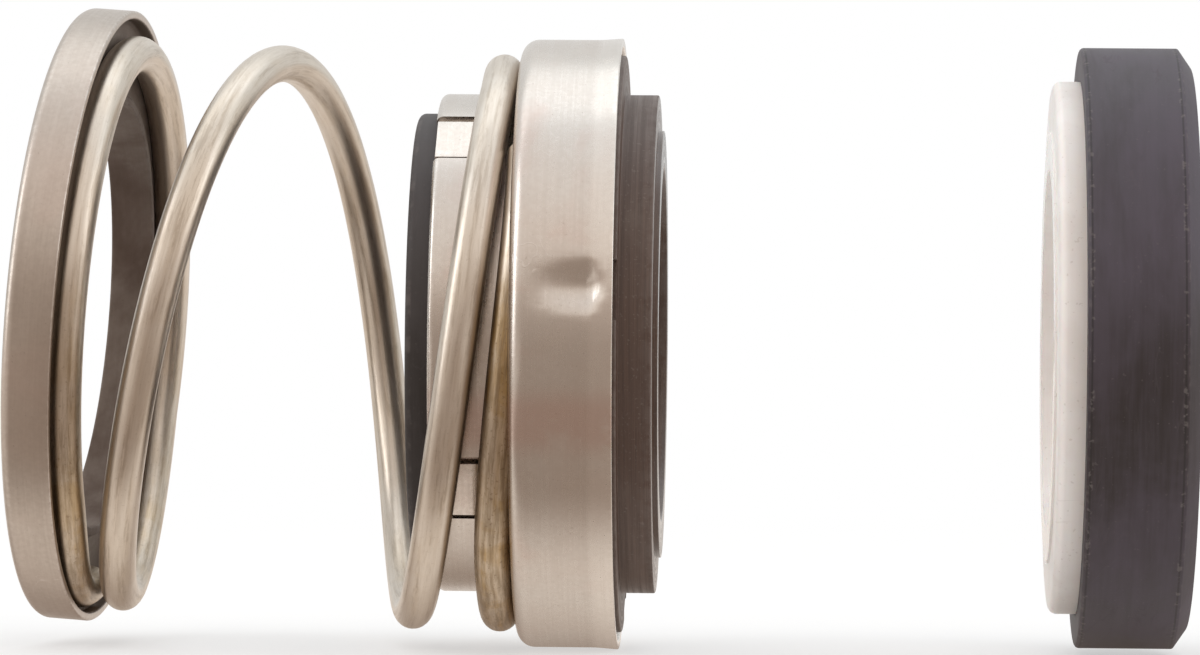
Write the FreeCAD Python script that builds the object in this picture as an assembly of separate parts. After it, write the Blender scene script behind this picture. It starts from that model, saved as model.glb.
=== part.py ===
import FreeCAD, Part
import math
import os

from FreeCAD import Vector

# Component mechanical seal for a pump shaft, in millimetres.
# The rotary head is a spring holder, one coil spring, a stamped retainer, a drive band,
# a rubber bellows and a carbon primary ring. The seat is a ceramic ring in a rubber cup.
# +X runs along the shaft from the head to the seat and +Z is up. The origin is on the
# shaft axis, at the middle of the bellows' grip.
# Angles round the shaft are degrees above the front, which is the -Y side.

# Shaft and the room round it
shaft_radius = 9.525
ring_clearance = 0.775
hole_clearance = 2.955

# Rubber bellows
grip_length = 5.2
tail_wall = 3.835
tail_edge_round = 0.4
sleeve_clearance = 1.3
sleeve_wall = 0.9
fold_wall = 0.7
fold_gap = 0.6
fold_clearance = 0.15
fold_round = 0.25
flange_thickness = 1.35
flange_clearance = 0.3

# Drive band
band_sheet = 0.5
band_fit = 0.02
band_length = 3.55
band_setback = 0.12
ear_count = 4
ear_width = 3.6
ear_length = 2.9
ear_recess = 0.2
ear_angle = 54.5

# Retainer stamping
sheet = 0.5
neck_clearance = 0.13
neck_length = 4.69
tail_reach = 1.31
slot_gap = 0.36
slot_offset = 0.6
bellows_travel = 1.0
slot_end_gap = 0.15
neck_edge_round = 0.42
shoulder_bend = 0.8
case_bend = 1.0
case_length = 5.87
case_margin = 0.87
flare = 0.1
flare_length = 0.6
dent_count = 3
dent_angle = 10.6
dent_radius = 1.75
dent_depth = 1.0
dent_length = 2.75
dent_from_rim = 0.72

# Carbon primary ring
shoulder_clearance = 0.4
shoulder_proud = 0.18
body_step = 2.08
body_proud = 1.93
nose_width = 2.15
nose_height = 0.3
ring_edge = 0.12
notch_gap = 0.2

# Coil spring, left-hand wound, with closed and ground ends
wire_diameter = 2.14
coil_clearance = 0.2
spring_length = 24.75
tip_thickness = 0.33
case_end_angle = 43.0
seated_angle = 100.0
case_dead_angle = 333.0
active_angle = 590.0
even_pitch_share = 0.3
coil_step = 30.0
holder_dead_angle = 240.0
holder_seated_angle = 60.0
spring_lean = 3.9
spring_turn = 5.0
lean_power = 1.5

# Spring holder
rim_wall = 0.5
rim_clearance = 0.6
groove_depth = 0.75
web = 2.1
hub_wall = 0.5
hub_height = 0.45
holder_bend = 0.6
holder_edge = 0.15
coil_drop = 0.35

# Ceramic mating ring and its rubber cup
seat_distance = 22.4
mating_thickness = 6.2
mating_step = 2.945
mating_edge_round = 0.5
land_margin = 0.1
land_height = 0.15
cup_wall = 1.95
cup_fit = 0.02
mating_proud = 1.7
cup_floor = 1.9
cup_hole_margin = 1.2
bevel_length = 0.76
bevel_depth = 1.1
cup_edge_round = 0.25

# Radii, worked outwards from the shaft
tail_radius = shaft_radius + tail_wall
band_inner = tail_radius + band_fit
band_outer = band_inner + band_sheet
neck_inner = band_outer + neck_clearance
neck_outer = neck_inner + sheet
wire_radius = wire_diameter / 2
coil_radius = neck_outer + coil_clearance + wire_radius
case_outer = coil_radius + wire_radius + case_margin
case_inner = case_outer - sheet
dent_floor = case_outer - dent_depth - sheet
ring_bore = shaft_radius + ring_clearance
nose_radius = ring_bore + nose_width
body_radius = nose_radius + body_step
shoulder_radius = case_inner - shoulder_clearance
land_radius = nose_radius + land_margin
mating_radius = land_radius + mating_step
housing_radius = mating_radius + cup_fit + cup_wall

# Places along the shaft
tail_end = -grip_length / 2
neck_end = tail_end + tail_reach
case_seat = neck_end + neck_length
rim_end = case_seat + case_length
fold_start = case_seat + sheet + fold_clearance
ring_back = fold_start + fold_wall + fold_gap + flange_thickness
shoulder_front = rim_end + shoulder_proud
body_front = shoulder_front + body_proud
nose_front = body_front + nose_height
mating_front = nose_front + seat_distance
mating_back = mating_front + mating_thickness
cup_front = mating_front + mating_proud
cup_back = mating_back + cup_floor


def corner_arc(corner, before, after, reach):
    """Return the arc that rounds a corner, given unit directions and the reach along both."""
    half = before.getAngle(after) / 2
    inward = before + after
    inward.normalize()
    middle = corner + inward * (reach * (1 / math.cos(half) - math.tan(half)))
    return Part.Arc(corner + before * reach, middle, corner + after * reach)


def section(corners):
    """Return the face of a closed outline of (x, radius, rounding) corners."""
    places = [Vector(x, 0, radius) for x, radius, rounding in corners]
    edges = []
    joints = []
    for index, (x, radius, rounding) in enumerate(corners):
        here = places[index]
        before = places[index - 1] - here
        after = places[(index + 1) % len(places)] - here
        before.normalize()
        after.normalize()
        reach = rounding / math.tan(before.getAngle(after) / 2)
        joints.append((here + before * reach, here + after * reach))
        if rounding > 0:
            edges.append(corner_arc(here, before, after, reach).toShape())
    for index, (start, leave) in enumerate(joints):
        arrive = joints[(index + 1) % len(joints)][0]
        if leave.distanceToPoint(arrive) > 1e-6:
            edges.append(Part.LineSegment(leave, arrive).toShape())
    return Part.Face(Part.Wire(Part.__sortEdges__(edges)))


def turned(corners):
    """Return the solid of an outline turned round the shaft axis."""
    return section(corners).revolve(Vector(0, 0, 0), Vector(1, 0, 0), 360)


def round_shaft(shape, angle):
    """Turn a feature made at the front up to its angle round the shaft."""
    shape.rotate(Vector(0, 0, 0), Vector(1, 0, 0), -angle)
    return shape


def front_block(start, length, inner, outer, width):
    """Return a block at the front of the shaft, between two distances from the axis."""
    return Part.makeBox(length, outer - inner, width, Vector(start, -outer, -width / 2))


def make_bellows():
    """Rubber bellows: shaft grip, sleeve, one fold and the flange behind the ring."""
    grip_end = tail_end + grip_length
    step = neck_end + band_setback + band_length
    sleeve_inner = shaft_radius + sleeve_clearance
    sleeve_outer = sleeve_inner + sleeve_wall
    fold_outer = dent_floor - flange_clearance
    fold_back = fold_start + fold_wall
    flange_back = ring_back - flange_thickness
    fold_inner = fold_outer - fold_wall
    return turned([
        (tail_end, shaft_radius, 0),
        (tail_end, tail_radius, tail_edge_round),
        (step, tail_radius, 0),
        (step, sleeve_outer, 0),
        (fold_start, sleeve_outer, 0),
        (fold_start, fold_outer, fold_round),
        (ring_back, fold_outer, 0),
        (ring_back, sleeve_inner, 0),
        (flange_back, sleeve_inner, 0),
        (flange_back, fold_inner, fold_round),
        (fold_back, fold_inner, fold_round),
        (fold_back, sleeve_inner, 0),
        (grip_end, sleeve_inner, 0),
        (grip_end, shaft_radius, 0),
    ])


def make_drive_band():
    """Sheet ring on the bellows' tail, with flat hollow ears pressed out of it."""
    start = neck_end + band_setback
    end = start + band_length
    band = turned([
        (start, band_inner, 0),
        (start, band_outer, 0),
        (end, band_outer, 0),
        (end, band_inner, 0),
    ])
    flat = neck_outer - ear_recess
    root = band_inner + band_sheet / 2
    hollow_length = ear_length - 2 * band_sheet
    hollow_width = ear_width - 2 * band_sheet
    for index in range(ear_count):
        angle = ear_angle + index * 360 / ear_count
        ear = front_block(start, ear_length, root, flat, ear_width)
        band = band.fuse(round_shaft(ear, angle))
    for index in range(ear_count):
        angle = ear_angle + index * 360 / ear_count
        hollow = front_block(start + band_sheet, hollow_length, band_inner - band_sheet,
                             flat - band_sheet, hollow_width)
        band = band.cut(round_shaft(hollow, angle))
    return band.removeSplitter()


def dent_punch(growth):
    """Return the punch that presses a dent, flat towards the rim, grown by a thickness."""
    radius = dent_radius + growth
    open_radius = math.sqrt(dent_radius ** 2 - (dent_radius - dent_depth) ** 2)
    front = rim_end - dent_from_rim
    centre_x = front - dent_length + open_radius
    centre = Vector(centre_x, -(case_outer - dent_depth + dent_radius), 0)
    ball = Part.makeSphere(radius, centre)
    reach = 2 * radius
    behind_front = Part.makeBox(reach, 2 * reach, 2 * reach,
                                Vector(front + growth - reach, centre.y - reach, -reach))
    return ball.common(behind_front)


def make_retainer():
    """Stamped retainer: slotted neck, spring shoulder and dented case with a flared rim."""
    flare_start = rim_end - flare_length
    stamping = turned([
        (neck_end, neck_inner, 0),
        (neck_end, neck_outer, neck_edge_round),
        (case_seat, neck_outer, shoulder_bend - sheet),
        (case_seat, case_outer, case_bend),
        (flare_start, case_outer, 0),
        (rim_end, case_outer + flare, 0),
        (rim_end, case_inner + flare, 0),
        (flare_start, case_inner, 0),
        (case_seat + sheet, case_inner, case_bend - sheet),
        (case_seat + sheet, neck_inner, shoulder_bend),
    ])
    slot_width = ear_width + 2 * slot_gap
    slot_length = band_setback + ear_length + bellows_travel + slot_end_gap
    for index in range(ear_count):
        angle = ear_angle + slot_offset + index * 360 / ear_count
        slot = front_block(neck_end - sheet, slot_length + sheet, band_inner - sheet,
                           neck_outer + sheet, slot_width)
        stamping = stamping.cut(round_shaft(slot, angle))
    envelope = Part.makeCylinder(case_outer, case_length, Vector(case_seat, 0, 0), Vector(1, 0, 0))
    for index in range(dent_count):
        angle = dent_angle + index * 360 / dent_count
        bulge = round_shaft(dent_punch(sheet), angle).common(envelope)
        stamping = stamping.fuse(bulge)
    for index in range(dent_count):
        angle = dent_angle + index * 360 / dent_count
        stamping = stamping.cut(round_shaft(dent_punch(0), angle))
    return stamping.removeSplitter()


def make_primary_ring():
    """Carbon ring with a notched shoulder in the case and a narrow raised nose."""
    ring = turned([
        (ring_back, ring_bore, 0),
        (ring_back, shoulder_radius, ring_edge),
        (shoulder_front, shoulder_radius, ring_edge),
        (shoulder_front, body_radius, 0),
        (body_front, body_radius, ring_edge),
        (body_front, nose_radius, 0),
        (nose_front, nose_radius, 0),
        (nose_front, ring_bore, 0),
    ])
    bulge_radius = dent_radius + sheet
    shoulder_drop = dent_floor + bulge_radius - shoulder_radius
    half_bulge = math.sqrt(max(bulge_radius ** 2 - shoulder_drop ** 2, 0))
    floor = dent_floor - notch_gap
    width = 2 * (half_bulge + notch_gap)
    length = shoulder_front - ring_back + 2 * sheet
    for index in range(dent_count):
        angle = dent_angle + index * 360 / dent_count
        notch = front_block(ring_back - sheet, length, floor, case_outer, width)
        ring = ring.cut(round_shaft(notch, angle))
    return ring


def eased(share):
    """Return a share from 0 to 1 that starts and ends gently."""
    share = min(max(share, 0.0), 1.0)
    return share * share * (3 - 2 * share)


def wire_height(travel):
    """Return the wire centre's distance from the case seat after a travel in degrees."""
    tip_centre = tip_thickness - wire_radius
    last_centre = spring_length - wire_radius
    active = min(max((travel - case_dead_angle) / active_angle, 0.0), 1.0)
    pitch = even_pitch_share * active + (1 - even_pitch_share) * eased(active)
    holder_start = case_dead_angle + active_angle + holder_dead_angle
    height = tip_centre + (wire_radius - tip_centre) * eased(travel / seated_angle)
    height += (last_centre - wire_radius) * pitch
    height += wire_radius * eased((travel - holder_start) / holder_seated_angle)
    return height


def spring_axis(height):
    """Return the point and the frame of the leaning spring axis at a height."""
    length = spring_length - wire_radius
    share = max(height - wire_radius, 0.0) / length
    slope = share ** (lean_power - 1)
    sideways = math.tan(math.radians(spring_turn)) * slope
    upwards = math.tan(math.radians(spring_lean)) * slope
    along = Vector(-1, sideways, upwards)
    along.normalize()
    reach = length * share / lean_power
    point = Vector(case_seat - height, sideways * reach, upwards * reach)
    front = Vector(0, -1, 0)
    front = front - along * front.dot(along)
    front.normalize()
    up = along.cross(front)
    return point, along, front, up


def wire_point(travel):
    """Return the centre of the wire after a travel in degrees from the case-end tip."""
    height = wire_height(travel)
    point, along, front, up = spring_axis(height)
    angle = math.radians(case_end_angle - travel)
    return point + front * (coil_radius * math.cos(angle)) + up * (coil_radius * math.sin(angle))


def wire_direction(travel):
    """Return the unit direction of the wire after a travel in degrees."""
    direction = wire_point(travel + 0.5) - wire_point(travel - 0.5)
    direction.normalize()
    return direction


def arc_pair(start_travel, end_travel):
    """Return two arcs that leave and arrive along the wire and join without a kink."""
    start = wire_point(start_travel)
    end = wire_point(end_travel)
    leaving = wire_direction(start_travel)
    arriving = wire_direction(end_travel)
    chord = end - start
    both = chord.dot(leaving + arriving)
    spread = 2 * (1 - leaving.dot(arriving))
    reach = (math.sqrt(both ** 2 + spread * chord.dot(chord)) - both) / spread
    first_corner = start + leaving * reach
    second_corner = end - arriving * reach
    between = second_corner - first_corner
    between.normalize()
    first = corner_arc(first_corner, leaving * -1, between, reach)
    second = corner_arc(second_corner, between * -1, arriving, reach)
    return [first.toShape(), second.toShape()]


def make_spring():
    """One wire swept along its closed, opened and closed coils, then ground at both ends."""
    whole_travel = case_dead_angle + active_angle + holder_dead_angle + holder_seated_angle
    steps = round(whole_travel / coil_step)
    path = []
    for step in range(steps):
        path += arc_pair(whole_travel * step / steps, whole_travel * (step + 1) / steps)
    circle = Part.Circle(wire_point(0), wire_direction(0), wire_radius)
    profile = Part.Face(Part.Wire(circle.toShape()))
    wire = Part.Wire(path).makePipe(profile)
    reach = 2 * (coil_radius + wire_diameter)
    case_side = Part.makeBox(wire_diameter, reach, reach, Vector(case_seat, -reach / 2, -reach / 2))
    wire = wire.cut(case_side)
    seat, along, front, up = spring_axis(spring_length)
    holder_side = Part.makeCylinder(reach / 2, wire_diameter, seat, along)
    return wire.cut(holder_side)


def make_spring_holder():
    """Ring with a groove that the last coil seats in, a thin rim and a low hub."""
    coil_outer = coil_radius + wire_radius
    rim_inner = coil_outer + rim_clearance
    rim_outer = rim_inner + rim_wall
    hole = shaft_radius + hole_clearance
    hub_outer = hole + hub_wall
    rim_front = -groove_depth
    ring = turned([
        (web, hole, holder_edge),
        (web, rim_outer, holder_bend),
        (rim_front, rim_outer, 0),
        (rim_front, rim_inner, 0),
        (0, rim_inner, holder_edge),
        (0, hub_outer, holder_edge),
        (-hub_height, hub_outer, 0),
        (-hub_height, hole, 0),
    ])
    seat, along, front, up = spring_axis(spring_length)
    place = FreeCAD.Placement(seat + up * coil_drop, FreeCAD.Rotation(Vector(1, 0, 0), along))
    return ring.transformed(place.toMatrix())


def make_mating_ring():
    """Ceramic ring with a rounded front edge and a raised lapped land."""
    face = mating_front + land_height
    return turned([
        (mating_front, ring_bore, 0),
        (mating_front, land_radius, 0),
        (face, land_radius, 0),
        (face, mating_radius, mating_edge_round),
        (mating_back, mating_radius, ring_edge),
        (mating_back, ring_bore, 0),
    ])


def make_seat_cup():
    """Rubber cup round the mating ring, with a floor behind it and a bevelled back."""
    pocket = mating_radius + cup_fit
    hole = ring_bore + cup_hole_margin
    return turned([
        (cup_front, pocket, 0),
        (cup_front, housing_radius, cup_edge_round),
        (cup_back - bevel_length, housing_radius, 0),
        (cup_back, housing_radius - bevel_depth, 0),
        (cup_back, hole, 0),
        (mating_back, hole, 0),
        (mating_back, pocket, 0),
    ])


makers = {
    "spring_holder": make_spring_holder,
    "spring": make_spring,
    "retainer": make_retainer,
    "drive_band": make_drive_band,
    "bellows": make_bellows,
    "primary_ring": make_primary_ring,
    "mating_ring": make_mating_ring,
    "seat_cup": make_seat_cup,
}

os.makedirs("parts", exist_ok=True)
for name, make in makers.items():
    shape = make()
    box = shape.BoundBox
    print(name, len(shape.Solids), shape.isValid(), round(shape.Volume, 2),
          "x", round(box.XMin, 2), round(box.XMax, 2),
          "y", round(box.YMin, 2), round(box.YMax, 2),
          "z", round(box.ZMin, 2), round(box.ZMax, 2))
    shape.exportStep(f"parts/{name}.step")
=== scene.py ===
"""Component mechanical seal for a pump shaft: its eight pieces, their finishes and the studio.

The rotary head holds a spring holder, one coil spring, a stamped retainer, a drive band, a
rubber bellows and a carbon primary ring. The seat is a ceramic ring in a rubber cup. Every
piece lies where the frame has it: +X runs along the shaft from the head to the seat, +Z is
up and the origin is on the shaft axis. Lengths are in metres and angles in degrees, and an
angle round the shaft is counted above the front, which is the -Y side.
"""

import logging
import math
from dataclasses import dataclass
from enum import Enum
from typing import Optional, Sequence, Union

import bmesh
import bpy
from mathutils import Matrix, Vector
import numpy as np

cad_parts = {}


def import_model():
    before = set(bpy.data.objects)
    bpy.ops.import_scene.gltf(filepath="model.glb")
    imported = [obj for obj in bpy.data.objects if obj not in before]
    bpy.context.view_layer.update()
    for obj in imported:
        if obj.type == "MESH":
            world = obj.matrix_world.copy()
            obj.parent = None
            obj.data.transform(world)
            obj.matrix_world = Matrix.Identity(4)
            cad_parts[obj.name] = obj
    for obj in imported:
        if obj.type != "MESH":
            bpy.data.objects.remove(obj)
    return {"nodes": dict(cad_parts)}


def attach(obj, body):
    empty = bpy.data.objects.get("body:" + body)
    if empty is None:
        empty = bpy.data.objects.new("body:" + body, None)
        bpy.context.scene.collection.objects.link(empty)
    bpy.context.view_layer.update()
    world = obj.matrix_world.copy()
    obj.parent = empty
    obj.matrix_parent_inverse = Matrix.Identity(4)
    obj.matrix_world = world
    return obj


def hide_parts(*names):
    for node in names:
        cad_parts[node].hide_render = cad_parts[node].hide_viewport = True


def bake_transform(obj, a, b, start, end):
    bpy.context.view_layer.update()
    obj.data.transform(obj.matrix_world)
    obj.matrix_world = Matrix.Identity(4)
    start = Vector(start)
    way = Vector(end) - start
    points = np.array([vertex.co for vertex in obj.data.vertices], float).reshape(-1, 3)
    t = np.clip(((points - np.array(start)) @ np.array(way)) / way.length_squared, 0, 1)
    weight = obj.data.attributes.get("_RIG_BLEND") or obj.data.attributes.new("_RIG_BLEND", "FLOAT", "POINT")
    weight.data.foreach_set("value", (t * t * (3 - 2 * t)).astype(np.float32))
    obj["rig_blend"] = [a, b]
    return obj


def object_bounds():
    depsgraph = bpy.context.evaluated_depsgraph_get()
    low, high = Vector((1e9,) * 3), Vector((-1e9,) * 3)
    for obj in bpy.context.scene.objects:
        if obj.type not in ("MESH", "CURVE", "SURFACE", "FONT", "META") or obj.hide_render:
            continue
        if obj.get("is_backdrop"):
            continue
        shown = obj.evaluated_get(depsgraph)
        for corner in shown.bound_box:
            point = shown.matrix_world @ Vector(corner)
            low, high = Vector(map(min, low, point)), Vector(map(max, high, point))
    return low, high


MM = 0.001
FULL_TURN = 2 * math.pi
SHAFT_AXIS = Vector((1, 0, 0))
WIDE_FACE = 0.9 * MM
SOFT_BEND = math.radians(6)
WORN_BEND = math.radians(12)
SHARP_BEND = math.radians(38)
BEVELLED_BEND = math.radians(40)
FACET_ALLOWANCE = 0.002 * MM
MERGE_DISTANCE = MM / 10000
CUT_TOLERANCE = MM / 100000
LAPPED_EDGE = 0.04 * MM
CRISP_EDGE = 0.08 * MM
TRIMMED_EDGE = 0.1 * MM
BROKEN_EDGE = 0.12 * MM
EASED_EDGE = 0.15 * MM
MOULDED_EDGE = 0.25 * MM
FINE_STEPS = 288
LOG = logging.getLogger("mechanical_seal")


class Body(Enum):
    """The bodies that the pieces move with."""

    SEAT = "seat"
    FACE = "face"
    GRIP = "shaft_grip"
    HOLDER = "holder"


class Slot(Enum):
    """The finishes that the record names."""

    STEEL = "stainless_sheet"
    WIRE = "spring_wire"
    BELLOWS = "bellows_rubber"
    CARBON = "carbon"
    CERAMIC = "white_ceramic"
    CUP = "cup_rubber"


@dataclass(frozen=True)
class Sizes:
    """Sizes that several pieces share, worked outwards from the shaft."""

    shaft_radius: float = 9.525 * MM
    ring_clearance: float = 0.775 * MM
    tail_wall: float = 3.835 * MM
    band_fit: float = 0.02 * MM
    sheet: float = 0.5 * MM
    neck_clearance: float = 0.13 * MM
    wire_diameter: float = 2.14 * MM
    coil_clearance: float = 0.2 * MM
    case_margin: float = 0.87 * MM
    dent_depth: float = 1.0 * MM
    tail_end: float = -2.6 * MM
    tail_reach: float = 1.31 * MM
    neck_length: float = 4.69 * MM
    case_length: float = 5.87 * MM
    fold_clearance: float = 0.15 * MM
    fold_wall: float = 0.7 * MM
    fold_gap: float = 0.6 * MM
    flange: float = 1.35 * MM
    nose_width: float = 2.15 * MM
    seat_distance: float = 22.4 * MM
    dent_count: int = 3
    dent_angle: float = 10.6
    ear_count: int = 4
    ear_angle: float = 54.5
    ear_width: float = 3.6 * MM
    ear_length: float = 2.9 * MM
    ear_recess: float = 0.2 * MM
    band_setback: float = 0.12 * MM

    @property
    def tail_radius(self) -> float:
        """Return the outer radius of the bellows' tail."""
        return self.shaft_radius + self.tail_wall

    @property
    def band_inner(self) -> float:
        """Return the inner radius of the drive band."""
        return self.tail_radius + self.band_fit

    @property
    def band_outer(self) -> float:
        """Return the outer radius of the drive band."""
        return self.band_inner + self.sheet

    @property
    def neck_outer(self) -> float:
        """Return the outer radius of the retainer's neck."""
        return self.band_outer + self.neck_clearance + self.sheet

    @property
    def wire_radius(self) -> float:
        """Return the radius of the spring wire."""
        return self.wire_diameter / 2

    @property
    def coil_radius(self) -> float:
        """Return the radius of the wire's centre line."""
        return self.neck_outer + self.coil_clearance + self.wire_radius

    @property
    def case_outer(self) -> float:
        """Return the outer radius of the retainer's case."""
        return self.coil_radius + self.wire_radius + self.case_margin

    @property
    def dent_floor(self) -> float:
        """Return the radius that the dents reach inside the case."""
        return self.case_outer - self.dent_depth - self.sheet

    @property
    def ring_bore(self) -> float:
        """Return the bore of the primary ring and the mating ring."""
        return self.shaft_radius + self.ring_clearance

    @property
    def nose_radius(self) -> float:
        """Return the outer radius of the primary ring's nose."""
        return self.ring_bore + self.nose_width

    @property
    def neck_end(self) -> float:
        """Return where the retainer's neck ends, behind the tail."""
        return self.tail_end + self.tail_reach

    @property
    def case_seat(self) -> float:
        """Return the plane of the shoulder that the spring seats on."""
        return self.neck_end + self.neck_length

    @property
    def rim_end(self) -> float:
        """Return where the retainer's case ends."""
        return self.case_seat + self.case_length

    @property
    def fold_start(self) -> float:
        """Return where the bellows' fold starts."""
        return self.case_seat + self.sheet + self.fold_clearance

    @property
    def ring_back(self) -> float:
        """Return the back of the primary ring."""
        return self.fold_start + self.fold_wall + self.fold_gap + self.flange


@dataclass(frozen=True)
class Corner:
    """One corner of a turned outline: its place along the axis, its radius and its rounding."""

    along: float
    radius: float
    rounding: float = 0.0
    segments: int = 6


def eased(share: float) -> float:
    """Return a share from 0 to 1 that starts and ends gently."""
    share = min(max(share, 0.0), 1.0)
    return share * share * (3 - 2 * share)


def outline(corners: Sequence[Corner]) -> bmesh.types.BMesh:
    """Draw a closed outline of rounded corners as edges above the axis.

    Args:
        corners: The corners in order.

    Returns:
        A new bmesh that holds the outline's vertices and edges.
    """
    bm = bmesh.new()
    verts = [bm.verts.new((corner.along, 0, corner.radius)) for corner in corners]
    for index, vert in enumerate(verts):
        bm.edges.new((verts[index - 1], vert))
    for vert, corner in zip(verts, corners):
        if corner.rounding > 0:
            arms = [edge.other_vert(vert).co - vert.co for edge in vert.link_edges]
            half = arms[0].angle(arms[1]) / 2
            bmesh.ops.bevel(bm, geom=[vert], offset=corner.rounding / math.tan(half),
                            offset_type="OFFSET", affect="VERTICES", clamp_overlap=False,
                            segments=corner.segments, profile=0.5, material=-1)
    return bm


def turned(corners: Sequence[Corner], steps: int = 240) -> bmesh.types.BMesh:
    """Turn a closed outline once round the shaft axis.

    Args:
        corners: The outline's corners in order.
        steps: The number of steps in the turn.

    Returns:
        A new bmesh of a closed ring with outward faces.
    """
    bm = outline(corners)
    bmesh.ops.spin(bm, geom=list(bm.verts) + list(bm.edges), axis=SHAFT_AXIS, cent=(0, 0, 0),
                   dvec=(0, 0, 0), angle=FULL_TURN, steps=steps, use_merge=True,
                   use_normal_flip=False, use_duplicate=False)
    bmesh.ops.remove_doubles(bm, verts=list(bm.verts), dist=MERGE_DISTANCE)
    bmesh.ops.recalc_face_normals(bm, faces=list(bm.faces))
    return bm


def round_shaft(angle: float) -> Matrix:
    """Return the turn that takes a feature from the front up to its angle round the shaft."""
    return Matrix.Rotation(-math.radians(angle), 4, SHAFT_AXIS)


def spread(first: float, count: int) -> list[float]:
    """Return evenly spaced angles round the shaft from the first one on."""
    return [first + index * 360 / count for index in range(count)]


def front_block(start: float, length: float, inner: float, outer: float,
                width: float, angle: float) -> bmesh.types.BMesh:
    """Make a block that stands between two distances from the axis.

    Args:
        start: Where the block starts along the shaft.
        length: Its length along the shaft.
        inner: Its nearest distance from the axis.
        outer: Its furthest distance from the axis.
        width: Its width across.
        angle: Its angle round the shaft.

    Returns:
        A new bmesh that holds the block.
    """
    bm = bmesh.new()
    centre = Vector((start + length / 2, -(inner + outer) / 2, 0))
    place = round_shaft(angle) @ Matrix.Translation(centre)
    place = place @ Matrix.Diagonal((length, outer - inner, width, 1))
    bmesh.ops.create_cube(bm, size=1.0, matrix=place)
    return bm


def merged(parts: Sequence[bmesh.types.BMesh]) -> bmesh.types.BMesh:
    """Return one bmesh that holds the given ones, and free them."""
    whole = bmesh.new()
    for part in parts:
        mesh = bpy.data.meshes.new("part")
        part.to_mesh(mesh)
        part.free()
        whole.from_mesh(mesh)
        bpy.data.meshes.remove(mesh)
    return whole


def make_object(name: str, bm: bmesh.types.BMesh) -> bpy.types.Object:
    """Put a bmesh into a new object of the scene and free it.

    Args:
        name: The piece's name.
        bm: The bmesh to use up.

    Returns:
        The new object, at the origin.
    """
    mesh = bpy.data.meshes.new(name)
    bm.to_mesh(mesh)
    bm.free()
    piece = bpy.data.objects.new(name, mesh)
    bpy.context.scene.collection.objects.link(piece)
    return piece


def settle(piece: bpy.types.Object) -> None:
    """Turn a piece's live modifiers into its mesh."""
    bpy.context.view_layer.update()
    evaluated = piece.evaluated_get(bpy.context.evaluated_depsgraph_get())
    mesh = bpy.data.meshes.new_from_object(evaluated)
    old = piece.data
    piece.modifiers.clear()
    piece.data = mesh
    bpy.data.meshes.remove(old)
    mesh.name = piece.name


def combine(piece: bpy.types.Object, tool: bmesh.types.BMesh, operation: str) -> None:
    """Add a shape to a piece or cut it out.

    Args:
        piece: The piece to change.
        tool: The shape, used up.
        operation: UNION or DIFFERENCE.
    """
    other = make_object("tool", tool)
    modifier = piece.modifiers.new("combine", "BOOLEAN")
    modifier.operation = operation
    modifier.solver = "EXACT"
    modifier.object = other
    settle(piece)
    mesh = other.data
    bpy.data.objects.remove(other)
    bpy.data.meshes.remove(mesh)


def soften_edges(piece: bpy.types.Object, width: float, segments: int = 2) -> None:
    """Round a piece's sharp edges by a small width."""
    modifier = piece.modifiers.new("edges", "BEVEL")
    modifier.width = width
    modifier.segments = segments
    modifier.limit_method = "ANGLE"
    modifier.angle_limit = BEVELLED_BEND
    modifier.use_clamp_overlap = True
    settle(piece)


def shade(piece: bpy.types.Object) -> None:
    """Shade a piece smooth between its sharp edges, and note where its edges are.

    The edge attribute is 1 on rounded outer edges and 0 on flat and hollow places, so a
    face that spans two edges is first cut in three.
    """
    mesh = piece.data
    bm = bmesh.new()
    bm.from_mesh(mesh)

    def bend(vert: bmesh.types.BMVert) -> float:
        """Return the sharpest outward bend at a vertex."""
        return max((edge.calc_face_angle(0.0) for edge in vert.link_edges
                    if edge.is_manifold and edge.is_convex), default=0.0)

    wide = [edge for edge in bm.edges if edge.calc_length() > WIDE_FACE
            and all(bend(vert) > SOFT_BEND for vert in edge.verts)]
    bmesh.ops.subdivide_edges(bm, edges=wide, cuts=2, use_grid_fill=True)
    layer = bm.verts.layers.float.get("edge") or bm.verts.layers.float.new("edge")
    for face in bm.faces:
        face.smooth = True
    for vert in bm.verts:
        vert[layer] = min(bend(vert) / WORN_BEND, 1.0)
    bm.to_mesh(mesh)
    bm.free()
    mesh.set_sharp_from_angle(angle=SHARP_BEND)


Socket = bpy.types.NodeSocket
Colour = tuple[float, float, float, float]
Feed = Union[Socket, float, Sequence[float]]


def shade_of(red: int, green: int, blue: int) -> Colour:
    """Return a colour that is written from 0 to 255 as it looks, as a node takes it."""
    def opened(value: int) -> float:
        """Return one channel as an amount of light."""
        share = value / 255
        return share / 12.92 if share <= 0.04045 else ((share + 0.055) / 1.055) ** 2.4
    return (opened(red), opened(green), opened(blue), 1.0)


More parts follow.
